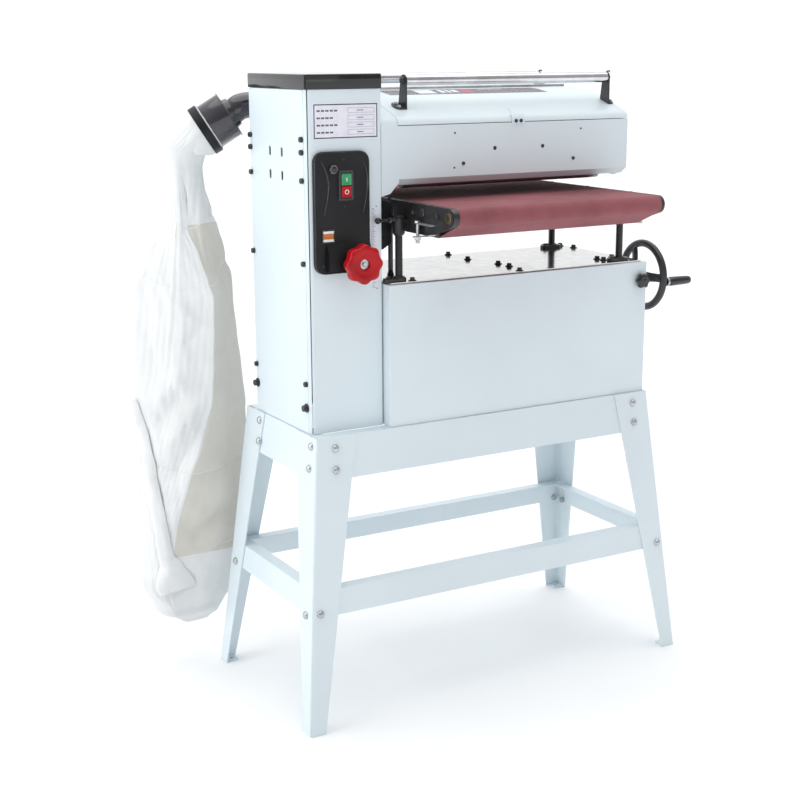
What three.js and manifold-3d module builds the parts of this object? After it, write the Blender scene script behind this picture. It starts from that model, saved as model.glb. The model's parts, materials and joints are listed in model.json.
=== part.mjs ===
// Drum sander on a folded steel stand. A fixed head holds the sanding drum, and a belt-fed table below it rises
// and falls on four lead screws. Millimetres, +Z up, +X to the operator's right, +Y away from the operator.
// Places below are measured from the floor point under the front left corner of the stand's top.
import * as THREE from "three";
import { mergeVertices } from "three/addons/utils/BufferGeometryUtils.js";
import Module from "manifold-3d";

const wasm = await Module();
wasm.setup();

// ---- Driving dimensions ----
const GAP = 0.3; // clearance between pieces that touch
const CENTRE = { x: 349.19, y: 194.45 }; // middle of the whole machine, where its origin is

const STAND = { width: 816, depth: 330, height: 589, splayX: 55, splayY: 62, sheet: 3 };
const LEG = { topWidth: 89, footWidth: 35, fold: 5, tab: 30, tabHole: 5 };
const TOP_RAIL = { height: 86, flange: 30 };
const STRETCHER = { top: 287, height: 53, flange: 28 };

const DRIVE_CABINET = { left: 6.8, right: 167.9, front: 34, back: 288.5, top: 1252, corner: 12, sheet: 2 };
const COVER = { front: 44, slots: [[140, 1132], [194, 1132], [140, 1087], [194, 1087]] };
const CAP = { overhang: 2, height: 28, corner: 4, wall: 4 };
const LIFT_CABINET = { left: 170.4, right: 810.4, front: 8.1, back: 318, top: 875, sheet: 2 };
const TOP_PLATE = { inset: 9, thickness: 3 };

const HEAD = { left: 168.3, right: 766, front: 34, back: 318, seam: 1180, bottom: 1065, sheet: 2.5 };
const HEAD_LIP = { y: 53, z: 1078 }; // where the front face turns in under the head
const CHEEK = { right: 207.5, bottom: 1046 };
const HOOD_CURVE = [
  [34, 1180],
  [34.6, 1185],
  [36.6, 1189.6],
  [40, 1193.8],
  [44.8, 1197],
  [52, 1200],
  [76, 1208.3],
  [128, 1226],
  [145.5, 1231],
  [165, 1235],
  [203.5, 1240],
  [232, 1242],
  [262, 1243],
];
const HOOD_GAP = 1.2; // the seam under the hood's front and side edges
const HOOD_HINGE = 262;

const DRUM = { y: 163, z: 1117, radius: 63.5, left: 236, right: 718, wall: 6, shaft: 12.5 };
const MOTOR = { z: 715, radius: 80, left: 185, right: 450, shaft: 12 };
const PULLEY = { left: 105, right: 125, drum: 54, motor: 38, groove: 9 };
const PRESSURE_ROLLER = { offset: 85, z: 1071, radius: 15, journal: 6 };
const RETURN_ROLLER = { radius: 11, journal: 4, length: 498, z: 1265 };
const RETURN_ROLLERS = { front: { y: 89, left: 250 }, back: { y: 298, left: 221 } };

const TABLE = { top: 1033.5, front: -127.4, back: 444, belt: 2, roller: 17.5, taper: 12, taperIn: 61.4, taperZ: 984 };
const CASTING = { left: 222, right: 725, leftWidth: 13.7, rightWidth: 6.7, nose: 18, journal: 8 };
const POSTS = { left: 206.6, right: 754, front: 35, back: 283 };
const SCREW = { radius: 8, bottom: 800, top: 1008, sprocket: 20, sprocketZ: 850, boss: 12 };
const WHEEL = { y: 65, z: 836, radius: 70.2, shaft: 9, hub: 22, reach: 36.5 };
const LOCK = { x: 793, front: -10, back: 5, radius: 17, lobes: 6, stem: 4 };

const PANEL = { left: 19, right: 137.5, bottom: 905, top: 1137, front: 26, corner: 20 };
const SWITCH = { x: 85, z: 1072.7, press: 3.5, start: 11.5, stop: -11.9 };
const RESET = { x: 59, z: 1104, radius: 5 };
const ROCKER = { x: 46, z: 978 };
const SPEED_KNOB = { x: 101.6, y: 11.7, z: 925.5, radius: 36.8, lobes: 8 };
const PORT = { x: -2, y: 368, z: 1196.7, radius: 48, pipe: 27 };
const PORT_AXIS = new THREE.Vector3(-0.7905, 0.3047, -0.5312).normalize();

// ---- Shape helpers ----
const ARC_STEP = Math.PI / 10; // the widest step round a curve

function solid(shape) {
  if (!shape.isBufferGeometry) return shape;
  const bare = shape.index ? shape.toNonIndexed() : shape.clone();
  bare.deleteAttribute("normal");
  bare.deleteAttribute("uv");
  const merged = mergeVertices(bare, 1e-4);
  const vertProperties = merged.attributes.position.array;
  const triVerts = new Uint32Array(merged.index.array);
  const made = new wasm.Manifold(new wasm.Mesh({ numProp: 3, vertProperties, triVerts }));
  if (made.volume() > 0) return made;
  triVerts.reverse();
  return new wasm.Manifold(new wasm.Mesh({ numProp: 3, vertProperties, triVerts }));
}

const join = (first, ...others) => others.reduce((whole, piece) => whole.add(solid(piece)), solid(first));
const cut = (first, ...others) => others.reduce((whole, piece) => whole.subtract(solid(piece)), solid(first));

function box(x0, x1, y0, y1, z0, z1) {
  const geometry = new THREE.BoxGeometry(x1 - x0, y1 - y0, z1 - z0);
  return geometry.translate((x0 + x1) / 2, (y0 + y1) / 2, (z0 + z1) / 2);
}

// Round bars along each axis, at the place of their centre line.
function barX(x0, x1, y, z, radius, sides = 20) {
  const geometry = new THREE.CylinderGeometry(radius, radius, x1 - x0, sides).rotateZ(-Math.PI / 2);
  return geometry.translate((x0 + x1) / 2, y, z);
}

function barY(y0, y1, x, z, radius, sides = 20) {
  return new THREE.CylinderGeometry(radius, radius, y1 - y0, sides).translate(x, (y0 + y1) / 2, z);
}

function barZ(z0, z1, x, y, radius, sides = 20) {
  const geometry = new THREE.CylinderGeometry(radius, radius, z1 - z0, sides).rotateX(Math.PI / 2);
  return geometry.translate(x, y, (z0 + z1) / 2);
}

function extrude(points, depth) {
  const shape = new THREE.Shape(points.map(([a, b]) => new THREE.Vector2(a, b)));
  return new THREE.ExtrudeGeometry(shape, { depth, bevelEnabled: false });
}

// Prisms along each axis: the points are (y, z), (x, z) and (x, y).
const prismX = (points, x0, x1) =>
  extrude(points, x1 - x0).applyMatrix4(new THREE.Matrix4().set(0, 0, 1, x0, 1, 0, 0, 0, 0, 1, 0, 0, 0, 0, 0, 1));
const prismY = (points, y0, y1) => extrude(points, y1 - y0).rotateX(Math.PI / 2).translate(0, y1, 0);
const prismZ = (points, z0, z1) => extrude(points, z1 - z0).translate(0, 0, z0);

// A body turned about the X axis from (x, radius) points that run from axis to axis or close on themselves.
function turnedX(points, sides = 24) {
  const profile = points.map(([x, r]) => new THREE.Vector2(r, x));
  return new THREE.LatheGeometry(profile, sides).rotateZ(-Math.PI / 2);
}

// The outline of a band pulled round circles [a, b, radius], which run counter-clockwise.
function wrap(circles, grow = 0) {
  const ring = circles.map(([a, b, r]) => ({ a, b, r: r + grow }));
  const normals = ring.map((from, i) => {
    const to = ring[(i + 1) % ring.length];
    const length = Math.hypot(to.a - from.a, to.b - from.b);
    const along = Math.atan2(to.b - from.b, to.a - from.a);
    return along - Math.PI / 2 + Math.asin((from.r - to.r) / length);
  });
  return ring.flatMap((circle, i) => {
    const start = normals[(i + ring.length - 1) % ring.length];
    let turn = (normals[i] - start) % (2 * Math.PI);
    if (turn < 0) turn += 2 * Math.PI;
    const steps = Math.max(1, Math.ceil(turn / ARC_STEP));
    return Array.from({ length: steps + 1 }, (_, k) => {
      const angle = start + (turn * k) / steps;
      return [circle.a + circle.r * Math.cos(angle), circle.b + circle.r * Math.sin(angle)];
    });
  });
}

const roundedBox = (a0, a1, b0, b1, r) =>
  wrap([[a0 + r, b0 + r, r], [a1 - r, b0 + r, r], [a1 - r, b1 - r, r], [a0 + r, b1 - r, r]]);

// A knob's outline: a circle whose radius waves between its lobes.
function lobed(a, b, radius, lobes, wave) {
  const count = lobes * 6;
  return Array.from({ length: count }, (_, i) => {
    const angle = (2 * Math.PI * i) / count;
    const r = radius + wave * Math.cos(lobes * angle);
    return [a + r * Math.cos(angle), b + r * Math.sin(angle)];
  });
}

// An open curve of points moved sideways by the sheet's thickness, to the right of its direction.
function offsetCurve(points, distance) {
  return points.map(([a, b], i) => {
    const [pa, pb] = points[Math.max(0, i - 1)];
    const [na, nb] = points[Math.min(points.length - 1, i + 1)];
    const length = Math.hypot(na - pa, nb - pb);
    return [a + (distance * (nb - pb)) / length, b - (distance * (na - pa)) / length];
  });
}

// A skin over rings of [x, y, z] points, each with as many points as the next, closed at both ends.
function loft(rings) {
  const outline = rings[0].map(([x, y]) => new THREE.Vector2(x, y));
  const ordered = THREE.ShapeUtils.area(outline) < 0 ? rings.map((ring) => [...ring].reverse()) : rings;
  const count = ordered[0].length;
  const flat = (ring) => ring.map(([x, y]) => new THREE.Vector2(x, y));
  const index = [];
  for (let k = 0; k + 1 < ordered.length; k++) {
    for (let i = 0; i < count; i++) {
      const j = (i + 1) % count;
      const a = k * count;
      const b = a + count;
      index.push(a + i, a + j, b + j, a + i, b + j, b + i);
    }
  }
  const last = (ordered.length - 1) * count;
  for (const [a, b, c] of THREE.ShapeUtils.triangulateShape(flat(ordered[0]), [])) index.push(c, b, a);
  for (const [a, b, c] of THREE.ShapeUtils.triangulateShape(flat(ordered.at(-1)), [])) {
    index.push(last + a, last + b, last + c);
  }
  const geometry = new THREE.BufferGeometry();
  geometry.setAttribute("position", new THREE.Float32BufferAttribute(ordered.flat(2), 3));
  geometry.setIndex(index);
  return geometry;
}

// A round pipe along a smooth path of [x, y, z] points; an inner radius makes it hollow.
function pipe(points, radius, inner, steps, sides = 16) {
  const section = new THREE.Shape(new THREE.EllipseCurve(0, 0, radius, radius).getPoints(sides).slice(0, -1));
  if (inner) section.holes.push(new THREE.Path(new THREE.EllipseCurve(0, 0, inner, inner).getPoints(sides).slice(0, -1)));
  const extrudePath = new THREE.CatmullRomCurve3(points.map((p) => new THREE.Vector3(...p)));
  return new THREE.ExtrudeGeometry(section, { steps, extrudePath });
}

// ---- Materials ----
function material(color, roughness, metalness) {
  return new THREE.MeshStandardMaterial({ color, roughness, metalness, flatShading: true });
}

const FINISH = {
  whitePaint: material(0xe3eef2, 0.45, 0.1),
  blackPaint: material(0x1b1b1e, 0.5, 0.2),
  blackPlastic: material(0x202024, 0.55, 0),
  steel: material(0xb9bcc0, 0.35, 0.9),
  zinc: material(0xc6cacb, 0.4, 0.8),
  chrome: material(0xd8d8dc, 0.12, 1),
  castIron: material(0x242427, 0.65, 0.4),
  aluminium: material(0xb4b6b8, 0.45, 0.9),
  rubber: material(0x18181a, 0.85, 0),
  abrasive: material(0x7c3a40, 0.9, 0),
  greenButton: material(0x1f8a4c, 0.35, 0),
  redPlastic: material(0xc41a20, 0.3, 0),
  orangeRocker: material(0xe0751c, 0.4, 0),
  cloth: material(0xe9e8e1, 0.95, 0),
};

const machine = new THREE.Group();
machine.position.set(-CENTRE.x, -CENTRE.y, 0);

function assembly() {
  const group = new THREE.Group();
  machine.add(group);
  return group;
}

// Adds one piece to an assembly; its shape may be modelled about its own axis and then put in place.
function add(group, name, shape, finish, place = [0, 0, 0]) {
  const mesh = solid(shape).getMesh();
  const geometry = new THREE.BufferGeometry();
  const corners = [];
  for (let i = 0; i < mesh.numVert; i++) {
    corners.push(...mesh.vertProperties.slice(i * mesh.numProp, i * mesh.numProp + 3));
  }
  geometry.setAttribute("position", new THREE.Float32BufferAttribute(corners, 3));
  geometry.setIndex(Array.from(mesh.triVerts));
  const piece = new THREE.Mesh(geometry, finish);
  piece.name = name;
  piece.position.set(...place);
  group.add(piece);
}

// ---- Stand ----
const splay = (full, z) => full * (1 - z / STAND.height);
const mirror = (value, size, flip) => (flip ? size - value : value);

function leg(right, back) {
  const ring = (z) => {
    const w = LEG.footWidth + ((LEG.topWidth - LEG.footWidth) * z) / STAND.height;
    const t = STAND.sheet;
    const f = LEG.fold;
    const fold = [180, 210, 240, 270].map((a) => (a * Math.PI) / 180);
    const outside = fold.map((a) => [f + f * Math.cos(a), f + f * Math.sin(a)]);
    const section = [[0, w], ...outside, [w, 0], [w, t], [f, t], [t, f], [t, w]];
    return section.map(([x, y]) => [
      mirror(x - splay(STAND.splayX, z), STAND.width, right),
      mirror(y - splay(STAND.splayY, z), STAND.depth, back),
      z,
    ]);
  };
  const corner = (inset, side) => [
    mirror(inset - STAND.splayX, STAND.width, right),
    mirror(side - STAND.splayY, STAND.depth, back),
  ];
  const near = corner(1, 1);
  const far = corner(LEG.tab, LEG.tab);
  const xs = [near[0], far[0]].sort((a, b) => a - b);
  const ys = [near[1], far[1]].sort((a, b) => a - b);
  const hole = corner(LEG.tab * 0.62, LEG.tab * 0.62);
  const tab = cut(box(...xs, ...ys, 0, STAND.sheet), barZ(-1, 5, ...hole, LEG.tabHole, 12));
  return join(loft([ring(0), ring(STAND.height)]), tab);
}

// An angle section whose face leans with the legs: (offset from the leg's outer face at the top, height) points.
function angleSection(fullSplay, top, height, flange) {
  const face = (z) => STAND.sheet + GAP - splay(fullSplay, z);
  const t = STAND.sheet - 0.5;
  const low = top - height;
  return [
    [face(low), low],
    [face(top), top],
    [face(top) + flange, top],
    [face(top) + flange, top - t],
    [face(top) + t, top - t],
    [face(low) + t, low],
  ];
}

function railPair(group, kind, top, height, flange) {
  const deep = STAND.sheet + GAP + flange + GAP;
  const reachX = splay(STAND.splayX, top) - STAND.sheet * 2 - 2;
  const frontBack = angleSection(STAND.splayY, top, height, flange);
  const leftRight = angleSection(STAND.splayX, top, height, flange);
  const backwards = frontBack.map(([y, z]) => [STAND.depth - y, z]);
  const rightwards = leftRight.map(([x, z]) => [STAND.width - x, z]);
  const reachY = splay(STAND.splayY, top) - deep;
  add(group, `${kind}_front`, prismX(frontBack, -reachX, STAND.width + reachX), FINISH.whitePaint);
  add(group, `${kind}_back`, prismX(backwards, -reachX, STAND.width + reachX), FINISH.whitePaint);
  add(group, `${kind}_left`, prismY(leftRight, -reachY, STAND.depth + reachY), FINISH.whitePaint);
  add(group, `${kind}_right`, prismY(rightwards, -reachY, STAND.depth + reachY), FINISH.whitePaint);
}

function buildStand() {
  const stand = assembly();
  for (const [end, back] of [["front", false], ["back", true]]) {
    add(stand, `leg_${end}_left`, leg(false, back), FINISH.whitePaint);
    add(stand, `leg_${end}_right`, leg(true, back), FINISH.whitePaint);
  }
  railPair(stand, "top_rail", STAND.height, TOP_RAIL.height, TOP_RAIL.flange);
  railPair(stand, "stretcher", STRETCHER.top, STRETCHER.height, STRETCHER.flange);
}

// ---- Cabinets ----
function driveCabinet() {
  const c = DRIVE_CABINET;
  const bottom = STAND.height + GAP;
  const returnWidth = 4.5;
  const outline = wrap([
    [c.left + c.corner, c.front + c.corner, c.corner],
    [c.right - 2, c.front + 2, 2],
    [c.right - 2, c.back - 2, 2],
    [c.left + 2, c.back - 2, 2],
  ]);
  const inner = box(c.left + returnWidth, c.right - c.sheet, c.front + c.sheet, c.back - c.sheet, bottom + c.sheet, 1300);
  const shell = cut(prismZ(outline, bottom, c.top), inner);
  const openSide = box(c.left - 1, c.left + returnWidth + 1, COVER.front + 16, c.back - 18, bottom + 20, c.top - 20);
  const coverSeat = box(c.left - 1, c.left + 2.3, COVER.front, c.back + 1, bottom - 1, c.top + 1);
  const floorOpening = box(c.left + 25, c.right - 25, c.front + 25, c.back - 25, bottom - 1, bottom + 5);
  const drumShaft = barX(c.right - 5, c.right + 5, DRUM.y, DRUM.z, DRUM.shaft + 2);
  const motorShaft = barX(c.right - 5, c.right + 5, DRUM.y, MOTOR.z, MOTOR.shaft + 3);
  return cut(shell, openSide, coverSeat, floorOpening, drumShaft, motorShaft);
}

function sideCover() {
  const c = DRIVE_CABINET;
  const y0 = COVER.front + GAP;
  const sheet = box(c.left, c.left + 2, y0, c.back - 0.5, STAND.height + 1, c.top - 1);
  const slots = COVER.slots.map(([y, z]) => prismX(wrap([[y, z - 5, 4.5], [y, z + 5, 4.5]]), 0, 20));
  return cut(sheet, ...slots);
}

function topCap() {
  const c = DRIVE_CABINET;
  const o = CAP.overhang;
  const bottom = c.top + GAP;
  const top = bottom + CAP.height - GAP;
  const outer = roundedBox(c.left - o, c.right + o, c.front - o, c.back + o, CAP.corner);
  const w = CAP.wall + o;
  const inner = roundedBox(c.left + w, c.right - w, c.front + w, c.back - w, 4);
  return cut(prismZ(outer, bottom, top), prismZ(inner, bottom - 1, top - CAP.wall));
}

function liftCabinet() {
  const c = LIFT_CABINET;
  const bottom = STAND.height + GAP;
  const s = c.sheet;
  const outline = roundedBox(c.left, c.right, c.front, c.back, 2);
  const inside = box(c.left + s, c.right - s, c.front + s, c.back - s, bottom + s, c.top - s);
  const mouth = box(c.left + 16, c.right - 12, c.front + 12, c.back - 12, c.top - 5, c.top + 1);
  const screwRoom = [POSTS.left, POSTS.right].flatMap((x) =>
    [POSTS.front, POSTS.back].map((y) => barZ(c.top - 5, c.top + 1, x, y, SCREW.radius + 4)),
  );
  const motorShaft = barX(c.left - 5, c.left + 5, DRUM.y, MOTOR.z, MOTOR.shaft + 3);
  const shaftHole = barX(c.right - 10, c.right + 20, WHEEL.y, WHEEL.z, WHEEL.shaft + 0.6);
  const boss = barX(c.right - 1, c.right + 11, WHEEL.y, WHEEL.z, 16);
  const shell = cut(prismZ(outline, bottom, c.top), inside, mouth, motorShaft, ...screwRoom);
  return cut(join(shell, boss), shaftHole);
}

function liftTopPlate() {
  const c = LIFT_CABINET;
  const low = c.top + GAP;
  const plate = prismZ(
    roundedBox(c.left + TOP_PLATE.inset, c.right - TOP_PLATE.inset, c.front + TOP_PLATE.inset, c.back - TOP_PLATE.inset, 3),
    low,
    low + TOP_PLATE.thickness,
  );
  const holes = [POSTS.left, POSTS.right].flatMap((x) =>
    [POSTS.front, POSTS.back].map((y) => barZ(low - 1, low + 5, x, y, SCREW.radius + 0.6)),
  );
  return cut(plate, ...holes);
}

// The junction box on the drive cabinet's right wall, and the conduit that runs from it into the lift cabinet.
function wiringConduit() {
  const wall = DRIVE_CABINET.right + GAP;
  const foot = LIFT_CABINET.top + TOP_PLATE.thickness + 2 * GAP;
  const outline = [[wall, 956], [wall + 14, 940], [wall + 34, 952], [wall + 34, 1031], [wall, 1031]];
  const route = [[wall + 2, 75, 1033.5], [190, 75, 1033.5], [203, 75, 1030], [209.5, 75, 1020], [210.5, 75, 1000]];
  return join(prismY(outline, 56, 90), pipe(route, 3.5, 0, 14, 10), barZ(foot, 1001, 210.5, 75, 3.5, 10));
}

function buildCabinets() {
  const cabinets = assembly();
  add(cabinets, "drive_cabinet", driveCabinet(), FINISH.whitePaint);
  add(cabinets, "side_cover", sideCover(), FINISH.whitePaint);
  add(cabinets, "top_cap", topCap(), FINISH.blackPlastic);
  add(cabinets, "lift_cabinet", liftCabinet(), FINISH.whitePaint);
  add(cabinets, "lift_top_plate", liftTopPlate(), FINISH.zinc);
  add(cabinets, "wiring_conduit", wiringConduit(), FINISH.blackPlastic);
}

// ---- Controls on the front of the drive cabinet ----
function controlPanel() {
  const p = PANEL;
  const back = DRIVE_CABINET.front - GAP;
  const plate = prismY(roundedBox(p.left, p.right, p.bottom, p.top, p.corner), p.front, back);
  const z = SPEED_KNOB.z;
  const noseSide = [
    [p.front + 1, z + 40],
    [SPEED_KNOB.y, z + 14.5],
    [SPEED_KNOB.y, z - 14.5],
    [p.front + 1, z - 17],
  ];
  const through = [p.front - 1, back + 1];
  const resetHole = barY(...through, RESET.x, RESET.z, RESET.radius + 0.6);
  const switchHole = box(SWITCH.x - 11.5, SWITCH.x + 11.5, ...through, SWITCH.z - 24, SWITCH.z + 24);
  const rockerHole = box(ROCKER.x - 11.6, ROCKER.x + 11.6, ...through, ROCKER.z - 11.6, ROCKER.z + 11.6);
  return cut(join(plate, prismX(noseSide, 43, p.right - 1)), resetHole, switchHole, rockerHole);
}

function speedKnob() {
  const k = SPEED_KNOB;
  const face = -36;
  const body = cut(prismY(lobed(0, 0, k.radius, k.lobes, 2), face, -12), barY(face - 1, face + 9, 0, 0, 12));
  return join(body, barY(-13, -GAP, 0, 0, 11));
}

function buildControls() {
  const controls = assembly();
  const front = PANEL.front - GAP;
  const k = SPEED_KNOB;
  add(controls, "control_panel", controlPanel(), FINISH.blackPlastic);
  add(controls, "feed_speed_knob", speedKnob(), FINISH.redPlastic, [k.x, k.y, k.z]);

  const button = prismY(roundedBox(-10.5, 10.5, -11, 11, 2), -7, SWITCH.press);
  const frame = prismY(roundedBox(-17, 17, -29, 29, 3), -4, 0);
  const window = (z) => box(-11, 11, -5, 1, z - 11.4, z + 11.4);
  const bezel = cut(frame, window(SWITCH.start), window(SWITCH.stop));
  add(controls, "switch_housing", bezel, FINISH.blackPlastic, [SWITCH.x, front, SWITCH.z]);
  add(controls, "start_button", button, FINISH.greenButton, [SWITCH.x, front, SWITCH.z + SWITCH.start]);
  add(controls, "stop_button", button, FINISH.redPlastic, [SWITCH.x, front, SWITCH.z + SWITCH.stop]);
  add(controls, "reset_button", barY(-7, 4, 0, 0, RESET.radius, 16), FINISH.blackPlastic, [RESET.x, front, RESET.z]);
  const rockerSide = [[4, -9], [4, 9], [-4, 10.5], [-3, 0], [-1, -10.5]];
  add(controls, "rocker_switch", prismX(rockerSide, -11, 11), FINISH.orangeRocker, [ROCKER.x, front, ROCKER.z]);
}

// ---- Head ----
function hoodHeight(y) {
  const i = Math.max(1, HOOD_CURVE.findIndex(([py]) => py >= y));
  const [y0, z0] = HOOD_CURVE[i - 1];
  const [y1, z1] = HOOD_CURVE[i];
  return z0 + ((z1 - z0) * (y - y0)) / (y1 - y0);
}

// The two blocks on the end walls that carry a pressure roller.
function rollerBlocks(y) {
  const z = PRESSURE_ROLLER.z;
  const left = box(CHEEK.right - 0.5, CHEEK.right + 9, y - 14, y + 14, z - 9, z + 18);
  const right = box(HEAD.right - HEAD.sheet - 9, HEAD.right - HEAD.sheet + 0.5, y - 14, y + 14, z - 9, z + 18);
  return [left, right];
}

function headShell() {
  const h = HEAD;
  const top = HOOD_CURVE.at(-1)[1];
  const s = h.sheet;
  const curve = HOOD_CURVE.slice(1);
  const inCurve = offsetCurve(HOOD_CURVE, s).slice(1);
  const outer = [[HEAD_LIP.y, h.bottom], [h.front, HEAD_LIP.z], ...HOOD_CURVE, [h.back, top], [h.back, h.bottom]];
  const inner = [
    [HEAD_LIP.y + 5, h.bottom - 1],
    [h.front + s, HEAD_LIP.z + 2],
    [h.front + s, curve[0][1]],
    ...inCurve.slice(1),
    [h.back - s, top - s],
    [h.back - s, h.bottom - 1],
  ];
  const cheekFront = [
    [h.left, CHEEK.bottom],
    [h.left + 20, CHEEK.bottom + 5],
    [CHEEK.right, h.bottom + 7],
    [CHEEK.right, h.seam],
    [h.left, h.seam],
  ];
  const wall = CHEEK.right - s;
  const body = join(prismX(outer, h.left, h.right), prismY(cheekFront, h.front, DRIVE_CABINET.back));
  const drumRoom = prismX(inner, CHEEK.right, h.right - s);
  const bearingRoom = prismX(inner, h.left - 1, wall);
  const hoodRoom = box(CHEEK.right - 2.5, h.right + 1, h.front - 1, HOOD_HINGE + GAP, h.seam, 1300);
  const shaftHole = barX(wall - 2, CHEEK.right + 2, DRUM.y, DRUM.z, DRUM.shaft + 2);
  const rollerRows = [DRUM.y - PRESSURE_ROLLER.offset, DRUM.y + PRESSURE_ROLLER.offset];
  const blocks = rollerRows.flatMap((y) => rollerBlocks(y));
  const bores = rollerRows.map((y) =>
    barX(CHEEK.right, h.right - s, y, PRESSURE_ROLLER.z, PRESSURE_ROLLER.journal + 0.5),
  );
  const outlet = barY(h.back - 10, h.back + 5, 235, PORT.z + 16, PORT.pipe - 3);
  const shell = cut(body, drumRoom, bearingRoom, hoodRoom, shaftHole, outlet);
  return cut(join(shell, ...blocks), ...bores);
}

function dustHood() {
  const h = HEAD;
  const low = h.seam + HOOD_GAP;
  const s = 2;
  const left = CHEEK.right - 2.5 + HOOD_GAP;
  const curve = HOOD_CURVE.slice(1);
  const inCurve = offsetCurve(HOOD_CURVE, s).slice(1);
  const outer = [[h.front, low], ...curve, [HOOD_HINGE, low]];
  const inner = [[h.front + s, low - 1], ...inCurve, [HOOD_HINGE + 1, inCurve.at(-1)[1]], [HOOD_HINGE + 1, low - 1]];
  return cut(prismX(outer, left, h.right), prismX(inner, left + s, h.right - s));
}

// A bracket that holds one end of a return roller: an upright with a sloping foot on the outer side.
function rollerBracket(y, footY, heightAt, side) {
  const r = RETURN_ROLLER;
  const low = (at) => heightAt(at) + GAP;
  const half = 15;
  const base = [[footY - half, low(footY - half)], [footY + half, low(footY + half)]];
  const eye = [0, 45, 90, 135, 180].map((a) => (a * Math.PI) / 180);
  const upright = [...base, ...eye.map((a) => [y + 11.5 * Math.cos(a), r.z + 11.5 * Math.sin(a)])];
  const foot = [...base, [base[1][0], base[1][1] + 3], [base[0][0], base[0][1] + 3]];
  const plate = prismX(upright, -1.5, 1.5);
  const flange = side < 0 ? prismX(foot, -23, 1) : prismX(foot, -1, 17);
  return cut(join(plate, flange), barX(-5, 5, y, r.z, r.journal + 0.4, 16));
}

function returnRoller() {
  const r = RETURN_ROLLER;
  const half = r.length / 2;
  return turnedX([
    [-half - 4, 0],
    [-half - 4, r.journal],
    [-half + 2, r.journal],
    [-half + 2, r.radius],
    [half - 2, r.radius],
    [half - 2, r.journal],
    [half + 4, r.journal],
    [half + 4, 0],
  ]);
}

function buildHead() {
  const head = assembly();
  const hood = new THREE.Group();
  head.add(hood);
  add(head, "head_shell", headShell(), FINISH.whitePaint);
  add(hood, "dust_hood", dustHood(), FINISH.whitePaint);
  const flatTop = () => HOOD_CURVE.at(-1)[1];
  const rows = [["front", hood, 92, hoodHeight], ["back", head, 298, flatTop]];
  for (const [end, group, footY, heightAt] of rows) {
    const { y, left } = RETURN_ROLLERS[end];
    const right = left + RETURN_ROLLER.length;
    const centre = (left + right) / 2;
    add(group, `return_roller_${end}`, returnRoller(), FINISH.chrome, [centre, y, RETURN_ROLLER.z]);
    const bracket = (side) => rollerBracket(y, footY, heightAt, side);
    add(group, `roller_bracket_${end}_left`, bracket(-1), FINISH.blackPaint, [left, 0, 0]);
    add(group, `roller_bracket_${end}_right`, bracket(1), FINISH.blackPaint, [right, 0, 0]);
  }
}

// ---- Drum, its bearings and its drive ----
function sandingDrum() {
  const d = DRUM;
  const inner = d.radius - d.wall;
  const middle = (d.left + d.right) / 2;
  return turnedX(
    [
      [100, 0],
      [100, d.shaft],
      [middle - 6, d.shaft],
      [middle - 6, inner],
      [d.left, inner],
      [d.left, d.radius],
      [d.right, d.radius],
      [d.right, inner],
      [middle + 6, inner],
      [middle + 6, d.shaft],
      [760, d.shaft],
      [760, 0],
    ],
    32,
  );
}

// A flanged bearing: its flange bolts to a wall at x = 0 and its hub stands out along +X or -X.
function drumBearing(side) {
  const bore = DRUM.shaft + GAP;
  const profile = [[0, bore], [0, 33], [8, 33], [8, 23], [22, 23], [22, bore], [0, bore]];
  return turnedX(profile.map(([x, r]) => [side * x, r]));
}

function groovedPulley(rim, bore) {
  const { left, right, groove } = PULLEY;
  const base = rim - groove;
  return [[left, bore], [left, rim], [left + 4, rim], [left + 4, base], [right - 4, base], [right - 4, rim],
    [right, rim], [right, bore]];
}

function motorPulley() {
  const bar = [[MOTOR.left - GAP, MOTOR.shaft], [MOTOR.left - GAP, 0]];
  return turnedX([[PULLEY.left, 0], ...groovedPulley(PULLEY.motor, MOTOR.shaft).slice(1), ...bar]);
}

function mainMotor() {
  const m = MOTOR;
  const floor = STAND.height + LIFT_CABINET.sheet + 2 * GAP;
  const body = barX(m.left + 8, m.right - 12, 0, 0, m.radius, 32);
  const ends = barX(m.left, m.right, 0, 0, m.radius - 10, 32);
  const feet = box(m.left + 45, m.right - 55, -72, 72, floor - m.z, -m.radius + 12);
  const terminals = box(m.left + 90, m.left + 160, -m.radius - 24, -m.radius + 12, -30, 35);
  return join(body, ends, feet, terminals);
}

function driveBelt() {
  const { left, right, drum, motor, groove } = PULLEY;
  const circles = (drop) => [[DRUM.y, MOTOR.z, motor - drop], [DRUM.y, DRUM.z, drum - drop]];
  const outer = prismX(wrap(circles(1)), left + 4.5, right - 4.5);
  return cut(outer, prismX(wrap(circles(groove - 1)), left, right));
}

function pressureRoller() {
  const p = PRESSURE_ROLLER;
  const ends = [CHEEK.right + 1, HEAD.right - HEAD.sheet - 1];
  const body = [DRUM.left + 1, DRUM.right - 1];
  return turnedX(
    [
      [ends[0], 0],
      [ends[0], p.journal],
      [body[0], p.journal],
      [body[0], p.radius],
      [body[1], p.radius],
      [body[1], p.journal],
      [ends[1], p.journal],
      [ends[1], 0],
    ],
    24,
  );
}

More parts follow.
